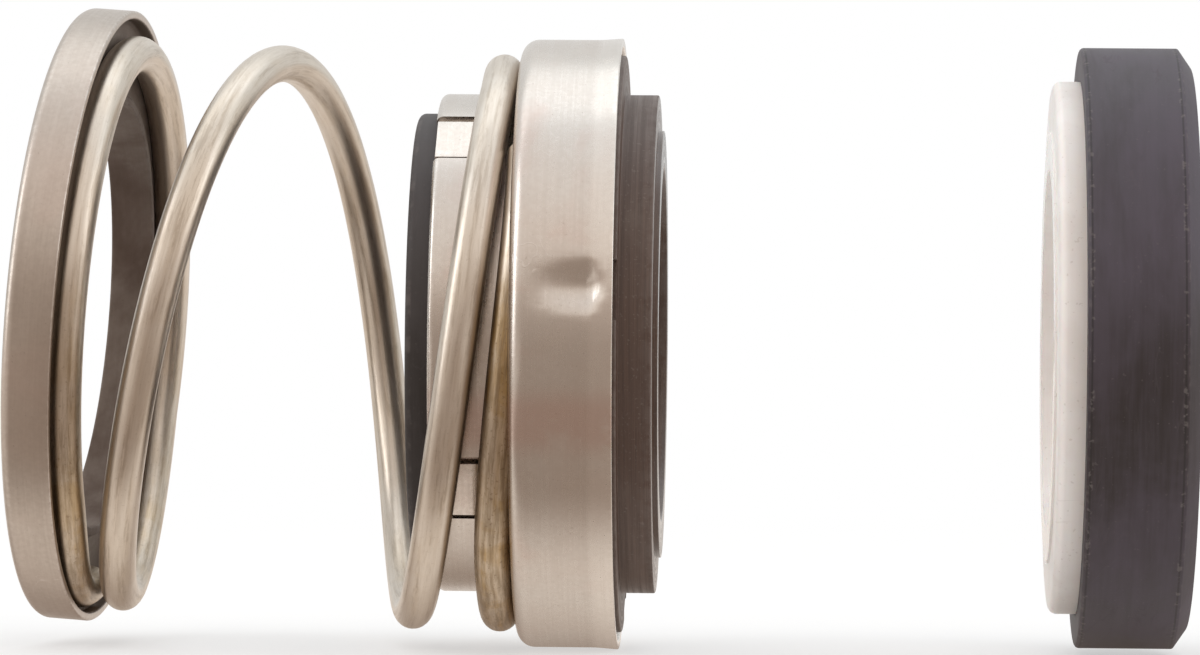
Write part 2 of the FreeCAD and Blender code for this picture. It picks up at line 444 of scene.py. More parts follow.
class Desk:
    """A shader node tree with short calls for the nodes that the finishes use."""

    def __init__(self, tree: bpy.types.NodeTree) -> None:
        """Work on a node tree."""
        self.tree = tree

    def add(self, kind: str, **settings: object) -> bpy.types.Node:
        """Add a node of a kind with its settings."""
        node = self.tree.nodes.new(kind)
        for name, value in settings.items():
            setattr(node, name, value)
        return node

    def feed(self, target: Socket, source: Feed) -> None:
        """Link a source to a socket, or set the socket to a plain value."""
        if isinstance(source, Socket):
            self.tree.links.new(source, target)
        else:
            target.default_value = source

    def wired(self, kind: str, *sources: Feed, **settings: object) -> Socket:
        """Add a node, feed its inputs in order and return its first output."""
        node = self.add(kind, **settings)
        for socket, source in zip(node.inputs, sources):
            self.feed(socket, source)
        return node.outputs[0]

    def maths(self, operation: str, *sources: Feed) -> Socket:
        """Return the result of a maths node."""
        return self.wired("ShaderNodeMath", *sources, operation=operation)

    def times(self, first: Feed, second: Feed) -> Socket:
        """Return two values times each other."""
        return self.maths("MULTIPLY", first, second)

    def off(self, value: Feed, middle: float) -> Socket:
        """Return how far a value is off a middle one."""
        return self.maths("ABSOLUTE", self.maths("SUBTRACT", value, middle))

    def summed(self, start: Feed, *parts: tuple[Feed, float]) -> Feed:
        """Return a value with masks added to it, each times its strength."""
        for mask, strength in parts:
            start = self.maths("ADD", start, self.times(mask, strength))
        return start

    def remap(self, value: Feed, low: Feed, high: Feed, to_low: Feed = 0.0,
              to_high: Feed = 1.0) -> Socket:
        """Return a value moved smoothly from one range to another and kept in it."""
        return self.wired("ShaderNodeMapRange", value, low, high, to_low, to_high,
                          interpolation_type="SMOOTHSTEP")

    def past(self, value: Feed, plane: float, start: float, end: float) -> Socket:
        """Return how far a value is from a start to an end, both counted from a plane."""
        return self.remap(value, plane + start, plane + end)

    def vector(self, across: Feed, along: Feed, up: Feed) -> Socket:
        """Return a vector of three values."""
        return self.wired("ShaderNodeCombineXYZ", across, along, up)

    def split(self, place: Feed) -> tuple[Socket, ...]:
        """Return the three parts of a vector."""
        node = self.add("ShaderNodeSeparateXYZ")
        self.feed(node.inputs[0], place)
        return tuple(node.outputs)

    def radius(self, place: Feed) -> Socket:
        """Return how far a place is from its X axis."""
        _, across, up = self.split(place)
        return self.maths("SQRT", self.maths("ADD", self.times(across, across),
                                             self.times(up, up)))

    def stretched(self, place: Feed, scale: Sequence[float]) -> Socket:
        """Return a place with each axis drawn out or squeezed."""
        node = self.add("ShaderNodeMapping")
        node.inputs["Scale"].default_value = scale
        self.feed(node.inputs["Vector"], place)
        return node.outputs[0]

    def blend(self, share: Feed, first: Feed, second: Feed) -> Socket:
        """Return two colours mixed by a share."""
        node = self.add("ShaderNodeMix", data_type="RGBA")
        for index, source in ((0, share), (6, first), (7, second)):
            self.feed(node.inputs[index], source)
        return node.outputs[2]

    def layered(self, colour: Feed, *layers: tuple[Feed, Feed, Feed]) -> Feed:
        """Return a colour with layers over it, each a mask, a strength and a colour."""
        for mask, strength, over in layers:
            colour = self.blend(self.times(mask, strength), colour, over)
        return colour

    def ramp(self, value: Feed, stops: Sequence[tuple[float, Colour]]) -> Socket:
        """Return the colour at a value between stops of place and colour."""
        node = self.add("ShaderNodeValToRGB")
        elements = node.color_ramp.elements
        elements[0].position, elements[1].position = stops[0][0], stops[-1][0]
        for place, _ in stops[1:-1]:
            elements.new(place)
        for element, (_, colour) in zip(elements, stops):
            element.color = colour
        self.feed(node.inputs[0], value)
        return node.outputs[0]

    def noise(self, place: Feed, scale: Feed, detail: float = 2.0, roughness: float = 0.55,
              distortion: float = 0.0, fourth: Optional[Feed] = None) -> Socket:
        """Return a noise value at a place, four-dimensional where a fourth way is given."""
        size = "3D" if fourth is None else "4D"
        node = self.add("ShaderNodeTexNoise", noise_dimensions=size)
        for name, source in (("Vector", place), ("Scale", scale), ("Detail", detail),
                             ("Roughness", roughness), ("Distortion", distortion)):
            self.feed(node.inputs[name], source)
        if fourth is not None:
            self.feed(node.inputs["W"], fourth)
        return node.outputs[0]

    def rays(self) -> tuple[Socket, Socket]:
        """Return whether a ray comes straight from the camera, and whether it is glossy."""
        seen = self.add("ShaderNodeLightPath").outputs
        direct = self.maths("MAXIMUM", seen["Is Camera Ray"], seen["Is Transmission Ray"])
        return direct, seen["Is Glossy Ray"]


def new_group(name: str, output: str, **settings: float) -> tuple[Desk, list[Socket], Socket]:
    """Start a node group that takes a place and plain settings and gives one value.

    Args:
        name: The group's name.
        output: The name of its result.
        settings: Each setting's name and default.

    Returns:
        The group's desk, its inputs and the socket that its result goes to.
    """
    tree = bpy.data.node_groups.new(name, "ShaderNodeTree")
    tree.interface.new_socket("Place", in_out="INPUT", socket_type="NodeSocketVector")
    for label, default in settings.items():
        socket = tree.interface.new_socket(label.capitalize(), in_out="INPUT",
                                           socket_type="NodeSocketFloat")
        socket.default_value = default
    tree.interface.new_socket(output, in_out="OUTPUT", socket_type="NodeSocketFloat")
    desk = Desk(tree)
    inputs = desk.add("NodeGroupInput").outputs[:len(settings) + 1]
    return desk, inputs, desk.add("NodeGroupOutput").inputs[0]


class Effects:
    """The surface effects that several finishes share, each built once as a node group."""

    def __init__(self) -> None:
        """Build the groups."""
        self.turned_lines = self.make_turned_lines()
        self.patches = self.make_patches()
        self.specks = self.make_specks()
        self.scuffs = self.make_scuffs()
        self.edge_wear = self.make_edge_wear()

    @staticmethod
    def make_turned_lines() -> bpy.types.NodeTree:
        """Build fine lines that run round the shaft axis and fade in and out."""
        desk, (place, fineness, reach), result = new_group(
            "Turned lines", "Lines", fineness=6000.0, reach=2.0)
        along, across, up = desk.split(place)
        radius = desk.radius(place)
        safe = desk.maths("MAXIMUM", radius, 0.1 * MM)
        across, up = (desk.times(desk.maths("DIVIDE", way, safe), reach) for way in (across, up))
        grooves = desk.vector(desk.times(along, fineness), desk.times(radius, fineness), across)
        lines = desk.noise(grooves, 1.0, detail=4.0, roughness=0.65, fourth=up)
        desk.feed(result, desk.remap(lines, 0.3, 0.7))
        return desk.tree

    @staticmethod
    def make_patches() -> bpy.types.NodeTree:
        """Build soft cloudy patches."""
        desk, (place, scale, low, high), result = new_group(
            "Patches", "Mask", scale=150.0, low=0.35, high=0.65)
        cloud = desk.noise(place, scale, detail=4.0, roughness=0.6, distortion=0.4)
        desk.feed(result, desk.remap(cloud, low, high))
        return desk.tree

    @staticmethod
    def make_specks() -> bpy.types.NodeTree:
        """Build small scattered specks that gather in loose groups."""
        desk, (place, scale, amount), result = new_group(
            "Specks", "Mask", scale=4000.0, amount=0.3)
        grain = desk.noise(place, scale, detail=1.0, roughness=0.4)
        gathered = desk.noise(place, desk.times(scale, 0.13))
        level = desk.summed(0.86, (amount, -0.4), (gathered, -0.16))
        desk.feed(result, desk.remap(grain, level, desk.maths("ADD", level, 0.07)))
        return desk.tree

    @staticmethod
    def make_scuffs() -> bpy.types.NodeTree:
        """Build thin wandering scuff lines that show in places."""
        desk, (place, scale, width, amount), result = new_group(
            "Scuffs", "Mask", scale=400.0, width=0.02, amount=0.5)
        wander = desk.noise(place, scale, detail=3.0, roughness=0.5, distortion=0.8)
        line = desk.maths("SUBTRACT", 1.0, desk.remap(desk.off(wander, 0.5), 0.0, width))
        where = desk.noise(place, desk.times(scale, 0.7))
        level = desk.summed(0.72, (amount, -0.3))
        shown = desk.remap(where, level, desk.maths("ADD", level, 0.12))
        desk.feed(result, desk.times(line, shown))
        return desk.tree

    @staticmethod
    def make_edge_wear() -> bpy.types.NodeTree:
        """Build uneven wear along the outer edges."""
        desk, (place, scale, amount), result = new_group(
            "Edge wear", "Mask", scale=900.0, amount=0.5)
        edge = desk.add("ShaderNodeAttribute", attribute_name="edge").outputs["Fac"]
        uneven = desk.noise(place, scale, detail=3.0, roughness=0.6)
        level = desk.summed(0.75, (amount, -0.5))
        worn = desk.remap(uneven, level, desk.maths("ADD", level, 0.25))
        desk.feed(result, desk.times(desk.maths("POWER", edge, 4.0), worn))
        return desk.tree


class Surface(Desk):
    """A material under way: its shader, its place on the piece and the shared effects."""

    def __init__(self, name: str, effects: Optional[Effects] = None) -> None:
        """Start a material."""
        self.material = bpy.data.materials.new(name)
        self.material.use_nodes = True
        super().__init__(self.material.node_tree)
        self.shader = self.tree.nodes["Principled BSDF"]
        self.place = self.add("ShaderNodeTexCoord").outputs["Object"]
        self.effects = effects

    def marks(self, group: bpy.types.NodeTree, place: Optional[Feed] = None,
              **settings: float) -> Socket:
        """Return the mask of a shared effect, at the piece's own place or at another.

        Args:
            group: The effect's node group.
            place: The other place, if there is one.
            settings: The effect's settings by name.

        Returns:
            The mask's socket.
        """
        node = self.add("ShaderNodeGroup", node_tree=group)
        self.feed(node.inputs["Place"], self.place if place is None else place)
        for name, value in settings.items():
            node.inputs[name.capitalize()].default_value = value
        return node.outputs[0]

    def relief(self, depth: float, *heights: tuple[Feed, float]) -> Socket:
        """Return the normal of small reliefs, one on the other.

        Args:
            depth: How deep a relief of full strength is, in metres.
            heights: Each relief's height from 0 to 1, and its strength.

        Returns:
            The normal's socket.
        """
        normal = None
        for height, strength in heights:
            node = self.add("ShaderNodeBump")
            inputs = {"Strength": strength, "Distance": depth, "Height": height}
            if normal is not None:
                inputs["Normal"] = normal
            for name, source in inputs.items():
                self.feed(node.inputs[name], source)
            normal = node.outputs[0]
        return normal

    def finish(self, inputs: dict[str, Feed]) -> bpy.types.Material:
        """Feed the shader's inputs by name and return the material."""
        for name, source in inputs.items():
            self.feed(self.shader.inputs[name], source)
        return self.material


@dataclass(frozen=True)
class SheetSteel:
    """Satin stainless sheet, with the fine lines of its forming round the axis."""

    name: str
    effects: Effects
    light: Colour = shade_of(211, 205, 198)
    dark: Colour = shade_of(185, 175, 166)
    warm: Colour = shade_of(203, 188, 177)
    # The pink of the random tinted patches and of the painted reflection strip.
    blush_and_reflection: Colour = shade_of(198, 166, 154)
    recess_shade_tone: Colour = shade_of(66, 48, 38)
    worn: Colour = shade_of(232, 226, 220)
    fineness: float = 6500.0
    roughness: float = 0.24
    smudge: float = 0.35
    tint: float = 0.3
    place: Optional[Matrix] = None
    # Radii inside which shade is painted into the hub's bore and the groove, as dark oily steel.
    shaded_radius: float = 0.0
    shaded_groove_radius: float = 0.0
    burnished_from: Optional[float] = None
    # A painted pink reflection strip at one height on the front side.
    reflection_strip_height: Optional[float] = None
    reflection_strip_fade: tuple[float, float] = (2.4 * MM, 0.6 * MM)
    reflection_strip_share: float = 0.48
    front_fade: tuple[float, float] = (-8.0 * MM, -14.0 * MM)

    def material(self) -> bpy.types.Material:
        """Build the material."""
        desk, effects = Surface(self.name, self.effects), self.effects
        if self.place is not None:
            own = desk.add("ShaderNodeMapping", vector_type="TEXTURE")
            desk.feed(own.inputs["Vector"], desk.place)
            own.inputs["Location"].default_value = self.place.translation
            own.inputs["Rotation"].default_value = self.place.to_euler("XYZ")
            desk.place = own.outputs[0]
        lines = desk.marks(effects.turned_lines, fineness=self.fineness, reach=1.5)
        bands = desk.marks(effects.turned_lines, fineness=self.fineness / 9, reach=3.0)
        patches = desk.marks(effects.patches, scale=130.0, low=0.25, high=0.75)
        smudges = desk.marks(effects.patches, scale=420.0, low=0.45, high=0.75)
        tinted = desk.marks(effects.patches, scale=105.0, low=0.52, high=0.68)
        specks = desk.marks(effects.specks, scale=7600.0, amount=0.12)
        scuffs = desk.marks(effects.scuffs, scale=240.0, width=0.008, amount=0.45)
        wear = desk.marks(effects.edge_wear, scale=2400.0, amount=0.7)
        grain = desk.remap(desk.noise(desk.place, 3600.0, 3.0, 0.6), 0.3, 0.7)
        burnished = self.burnished(desk)
        recess_shaded = self.recess_shaded(desk, patches)
        colour = desk.layered(
            self.light,
            (lines, 0.24, self.dark),
            (bands, 0.12, self.dark),
            (grain, 0.24, self.dark),
            (patches, 0.4, self.warm),
            (tinted, self.tint, self.blush_and_reflection),
            (smudges, 0.3 * self.smudge, shade_of(224, 217, 210)),
            (specks, 0.35, shade_of(140, 124, 112)),
            (scuffs, 0.25, self.worn),
            (wear, 0.3, self.worn),
            (burnished, 0.3, shade_of(232, 225, 217)),
            # painted reflection: a pink strip across the front of the case
            (self.painted_reflection_strip(desk, smudges), 1.0, self.blush_and_reflection),
            # painted shade: the hub's bore and the groove darkened as oily steel
            (recess_shaded, 1.0, self.recess_shade_tone))
        rough = desk.summed(
            self.roughness, (lines, 0.05), (grain, 0.04), (smudges, 0.1 * self.smudge),
            (specks, 0.15), (wear, -0.06), (burnished, -0.05), (recess_shaded, 0.4))
        inputs = {"Base Color": colour, "Roughness": rough, "Metallic": 1.0,
                  "Normal": desk.relief(0.02 * MM, (lines, 0.09), (grain, 0.045), (scuffs, 0.25))}
        if self.shaded_radius > 0:
            inputs["Metallic"] = desk.remap(recess_shaded, 0.0, 0.8, 1.0, 0.15)
            inputs["Specular IOR Level"] = 0.12
        return desk.finish(inputs)

    def burnished(self, desk: Surface) -> Feed:
        """Return where the sheet is rubbed bright, past a plane along the axis."""
        if self.burnished_from is None:
            return 0.0
        along, fade = desk.split(desk.place)[0], 0.3 * MM
        return desk.past(along, self.burnished_from, -fade, fade)

    def painted_reflection_strip(self, desk: Surface, smudges: Feed) -> Feed:
        """Return how far a painted pink reflection shows, in a strip at one height of the front."""
        if self.reflection_strip_height is None:
            return 0.0
        _, across, up = desk.split(desk.place)
        strip = desk.remap(desk.off(up, self.reflection_strip_height), *self.reflection_strip_fade,
                           0.0, self.reflection_strip_share)
        front = desk.remap(across, *self.front_fade)
        mottled = desk.remap(smudges, 0.0, 1.0, 1.0, 0.45)
        return desk.times(desk.times(strip, front), mottled)

    def recess_shaded(self, desk: Surface, patches: Feed) -> Feed:
        """Return where shade is painted dark into the sheet, as oily steel inside a radius round its own
        axis: the hub's bore and the groove.
        """
        if self.shaded_radius == 0:
            return 0.0
        radius, fade = desk.radius(desk.place), 0.1 * MM
        inside = desk.past(radius, self.shaded_radius, 0.0, -fade)
        groove = desk.remap(radius, self.shaded_groove_radius, self.shaded_groove_radius - fade, 0.0, 0.8)
        return desk.times(desk.maths("MAXIMUM", inside, groove),
                          desk.remap(patches, 0.0, 1.0, 0.7, 0.92))


@dataclass(frozen=True)
class DrawnWire:
    """Drawn spring wire: streaks along its length, gold tints and small rusty specks."""

    name: str
    effects: Effects
    light: Colour = shade_of(224, 216, 206)
    dark: Colour = shade_of(184, 172, 160)
    gold: Colour = shade_of(178, 149, 103)
    rust: Colour = shade_of(104, 80, 56)

    @staticmethod
    def streaks(desk: Surface) -> list[Socket]:
        """Return fine streaks, broad streaks and mottling that follow the wire."""
        way, around, _ = desk.split(desk.add("ShaderNodeUVMap", uv_map="UVMap").outputs[0])
        angle = desk.times(around, FULL_TURN)
        across, up = desk.maths("COSINE", angle), desk.maths("SINE", angle)
        streaks = []
        for along, girth, detail, roughness, low, high in (
                (1.7, 11.0, 4.0, 0.7, 0.3, 0.7),
                (0.55, 2.2, 3.0, 0.55, 0.36, 0.66),
                (2.4, 3.6, 6.0, 0.72, 0.36, 0.64)):
            place = desk.vector(desk.times(way, along), desk.times(across, girth),
                                desk.times(up, girth))
            streaks.append(desk.remap(desk.noise(place, 1.0, detail, roughness), low, high))
        return streaks

    @staticmethod
    def tarnish(desk: Surface) -> Socket:
        """Return how brassy the wire is along its coils, most of all beside the case."""
        coil = desk.add("ShaderNodeAttribute", attribute_name="coil").outputs["Fac"]
        amounts = ((0.0, 0.15), (0.018, 0.2), (0.03, 1.0), (0.11, 1.0), (0.16, 0.3),
                   (0.3, 0.15), (0.4, 0.3), (0.66, 0.2), (0.72, 0.6), (0.78, 0.25),
                   (0.9, 0.25), (0.94, 0.8), (1.0, 0.75))
        return desk.ramp(coil, [(place, (grey, grey, grey, 1.0)) for place, grey in amounts])

    def material(self) -> bpy.types.Material:
        """Build the material."""
        desk, effects = Surface(self.name, self.effects), self.effects
        fine, broad, mottle = self.streaks(desk)
        tarnish = self.tarnish(desk)
        patches = desk.marks(effects.patches, scale=300.0, low=0.35, high=0.62)
        specks = desk.marks(effects.specks, scale=5200.0, amount=0.3)
        dust = desk.marks(effects.specks, scale=9000.0, amount=0.25)
        marks = desk.times(desk.remap(mottle, 0.45, 1.0), broad)
        tint = desk.times(tarnish, desk.remap(patches, 0.0, 1.0, 0.6, 1.0))
        tint = desk.times(tint, desk.remap(broad, 0.0, 1.0, 0.7, 1.0))
        aged = desk.remap(tarnish, 0.25, 1.0, 0.1, 0.62)
        spots = desk.times(desk.times(specks, aged), 0.55)
        colour = desk.layered(
            self.light,
            (fine, 0.2, self.dark),
            (broad, 0.28, self.dark),
            (tint, 1.0, self.gold),
            (marks, 0.4, shade_of(146, 130, 114)),
            (mottle, aged, shade_of(126, 106, 78)),
            (spots, 1.0, self.rust),
            (dust, 0.2, shade_of(140, 122, 100)))
        return desk.finish({
            "Base Color": colour, "Metallic": 1.0,
            "Roughness": desk.summed(0.31, (fine, 0.05), (spots, 0.25), (tarnish, 0.06)),
            "Normal": desk.relief(0.02 * MM, (fine, 0.09), (spots, 0.2))})


@dataclass(frozen=True)
class GroundWire:
    """The flat that grinding leaves on the spring's ends, with its cross lines."""

    name: str
    effects: Effects

    def material(self) -> bpy.types.Material:
        """Build the material."""
        desk = Surface(self.name, self.effects)
        place = desk.stretched(desk.place, (1.0, 0.04, 1.0))
        lines = desk.remap(desk.noise(place, 5200.0, 3.0, 0.6), 0.3, 0.7)
        specks = desk.marks(self.effects.specks, scale=3000.0, amount=0.3)
        colour = desk.layered(shade_of(216, 208, 196),
                              (lines, 0.6, shade_of(166, 154, 140)),
                              (specks, 0.5, shade_of(112, 92, 66)))
        return desk.finish({
            "Base Color": colour, "Metallic": 1.0,
            "Roughness": desk.remap(lines, 0.0, 1.0, 0.3, 0.42),
            "Normal": desk.relief(0.02 * MM, (lines, 0.4))})


@dataclass(frozen=True)
class MouldedRubber:
    """Matte moulded rubber with faint bloom, scuffs, dust, the mould's lines and painted shade: darker below
    the axis, lighter again at the very bottom.
    """

    name: str
    effects: Effects
    base: Colour
    bloom: Colour
    underside_shade_and_dim: Colour
    seams: tuple[float, ...] = ()
    seam_fade: tuple[float, float] = (0.08 * MM, 0.03 * MM)
    nick_fade: tuple[float, float] = (0.2 * MM, 0.08 * MM)
    # Heights over which painted shade darkens the lower side, and where painted floor bounce lifts it again.
    underside_shade_from: tuple[float, float] = (7.0 * MM, -3.0 * MM)
    floor_bounce_from: tuple[float, float] = (-16.0 * MM, -7.0 * MM)
    roughness: float = 0.55

    def seam_layers(self, desk: Surface, along: Feed) -> list[tuple[Feed, float, Colour]]:
        """Return the colour layers of the mould's fine lines round the axis.

        Args:
            desk: The material's desk.
            along: The place along the axis.

        Returns:
            A dark line and its small light nicks for each seam, as layers.
        """
        layers = []
        for seam in self.seams:
            off = desk.off(along, seam)
            nicked = desk.remap(desk.noise(desk.place, 2400.0, 2.0, 0.6), 0.54, 0.66)
            nicks = desk.times(desk.remap(off, *self.nick_fade), nicked)
            layers.append((desk.remap(off, *self.seam_fade), 0.6, shade_of(30, 25, 25)))
            layers.append((nicks, 0.35, shade_of(124, 116, 113)))
        return layers

    def material(self) -> bpy.types.Material:
        """Build the material."""
        desk, effects = Surface(self.name, self.effects), self.effects
        along, _, up = desk.split(desk.place)
        drawn = desk.stretched(desk.place, (1.0, 0.3, 0.3))
        lines = desk.marks(effects.turned_lines, fineness=2600.0, reach=2.5)
        patches = desk.marks(effects.patches, scale=150.0, low=0.34, high=0.7)
        clouds = desk.marks(effects.patches, scale=70.0, low=0.3, high=0.7)
        dim = desk.marks(effects.patches, place=drawn, scale=520.0, low=0.45, high=0.7)
        scuffs = desk.marks(effects.scuffs, place=drawn, scale=260.0, width=0.014, amount=0.55)
        fine = desk.marks(effects.scuffs, place=drawn, scale=900.0, width=0.03, amount=0.6)
        specks = desk.marks(effects.specks, scale=5200.0, amount=0.16)
        wear = desk.marks(effects.edge_wear, scale=1100.0, amount=0.55)
        # painted shade: darker below the axis, lifted again at the very bottom as painted floor bounce
        low = desk.times(desk.remap(up, *self.underside_shade_from),
                         desk.remap(up, *self.floor_bounce_from, 0.25, 1.0))
        low = desk.times(low, desk.remap(clouds, 0.0, 1.0, 0.8, 1.0))
        marks = desk.maths("MAXIMUM", desk.times(scuffs, 0.7), fine)
        colour = desk.layered(
            self.base,
            # painted underside shade
            (low, 1.0, self.underside_shade_and_dim),
            (patches, 0.34, self.bloom),
            (dim, 0.3, self.underside_shade_and_dim),
            (lines, 0.2, self.bloom),
            (marks, 0.09, shade_of(116, 107, 108)),
            (specks, 0.12, shade_of(128, 118, 114)),
            (wear, 0.3, shade_of(122, 112, 108)),
            *self.seam_layers(desk, along))
        grain = desk.noise(desk.place, 3800.0, 3.0, 0.6)
        return desk.finish({
            "Base Color": colour, "Specular IOR Level": 0.45,
            "Roughness": desk.summed(self.roughness, (patches, 0.06), (marks, 0.12)),
            "Normal": desk.relief(0.03 * MM, (grain, 0.12), (marks, 0.2))})


@dataclass(frozen=True)
class CarbonGraphite:
    """Turned carbon with fine machining lines and a lapped nose face."""

    name: str
    effects: Effects
    nose_front: float
    body_front: float
    light: Colour = shade_of(90, 67, 55)
    dark: Colour = shade_of(58, 41, 32)

    def material(self) -> bpy.types.Material:
        """Build the material."""
        desk, effects = Surface(self.name, self.effects), self.effects
        along = desk.split(desk.place)[0]
        lapped = desk.past(along, self.nose_front, -0.02 * MM, -0.01 * MM)
        faced = desk.past(along, self.body_front, -0.03 * MM, -0.01 * MM)
        lines = desk.marks(effects.turned_lines, fineness=5200.0, reach=1.2)
        patches = desk.marks(effects.patches, scale=260.0, low=0.35, high=0.66)
        specks = desk.marks(effects.specks, scale=6400.0, amount=0.3)
        scuffs = desk.marks(effects.scuffs, scale=330.0, width=0.012, amount=0.4)
        wear = desk.marks(effects.edge_wear, scale=1300.0, amount=0.8)
        drawn = desk.stretched(desk.place, (1.0, 0.35, 0.35))
        bare = desk.marks(effects.patches, place=drawn, scale=640.0, low=0.5, high=0.72)
        colour = desk.layered(
            self.light,
            (lines, 0.75, self.dark),
            (bare, 0.35, shade_of(104, 90, 80)),
            (patches, 0.4, shade_of(84, 64, 54)),
            (specks, 0.22, shade_of(132, 122, 114)),
            (scuffs, 0.22, shade_of(126, 116, 110)),
            (wear, 0.3, shade_of(122, 112, 106)),
            (lapped, 0.6, shade_of(70, 66, 66)))
        rough = desk.summed(desk.remap(lines, 0.0, 1.0, 0.42, 0.55),
                            (faced, -0.2), (lapped, -0.07))
        ridges = desk.times(lines, desk.maths("SUBTRACT", 1.0, faced))
        return desk.finish({"Base Color": colour, "Roughness": rough, "Specular IOR Level": 0.6,
                            "Normal": desk.relief(0.03 * MM, (ridges, 0.16))})


@dataclass(frozen=True)
class Alumina:
    """White sintered ceramic, creamier towards the cup, with a lapped land."""

    name: str
    effects: Effects
    front: float
    white: Colour = shade_of(247, 243, 240)
    cream: Colour = shade_of(220, 208, 199)

    def material(self) -> bpy.types.Material:
        """Build the material."""
        desk, effects = Surface(self.name, self.effects), self.effects
        along = desk.split(desk.place)[0]
        lapped = desk.past(along, self.front, 0.02 * MM, 0.01 * MM)
        deep = desk.past(along, self.front, 0.4 * MM, 2.2 * MM)
        patches = desk.marks(effects.patches, scale=240.0, low=0.35, high=0.7)
        lines = desk.marks(effects.turned_lines, fineness=3200.0, reach=2.0)
        specks = desk.marks(effects.specks, scale=4600.0, amount=0.2)
        scuffs = desk.marks(effects.scuffs, scale=260.0, width=0.01, amount=0.45)
        colour = desk.layered(
            self.white,
            (deep, 0.65, self.cream),
            (patches, 0.35, shade_of(222, 213, 206)),
            (lines, 0.12, self.cream),
            (specks, 0.3, shade_of(186, 172, 160)),
            (scuffs, 0.22, shade_of(170, 160, 152)))
        ridges = desk.times(lines, desk.maths("SUBTRACT", 1.0, lapped))
        return desk.finish({
            "Base Color": colour, "Subsurface Weight": 0.12, "Subsurface Scale": 0.6 * MM,
            "Roughness": desk.summed(0.34, (patches, 0.1), (lapped, -0.2)),
            "Normal": desk.relief(0.02 * MM, (ridges, 0.12))})


def dress(piece: bpy.types.Object, *materials: bpy.types.Material) -> None:
    """Give a piece its materials in order."""
    piece.data.materials.clear()
    for material in materials:
        piece.data.materials.append(material)


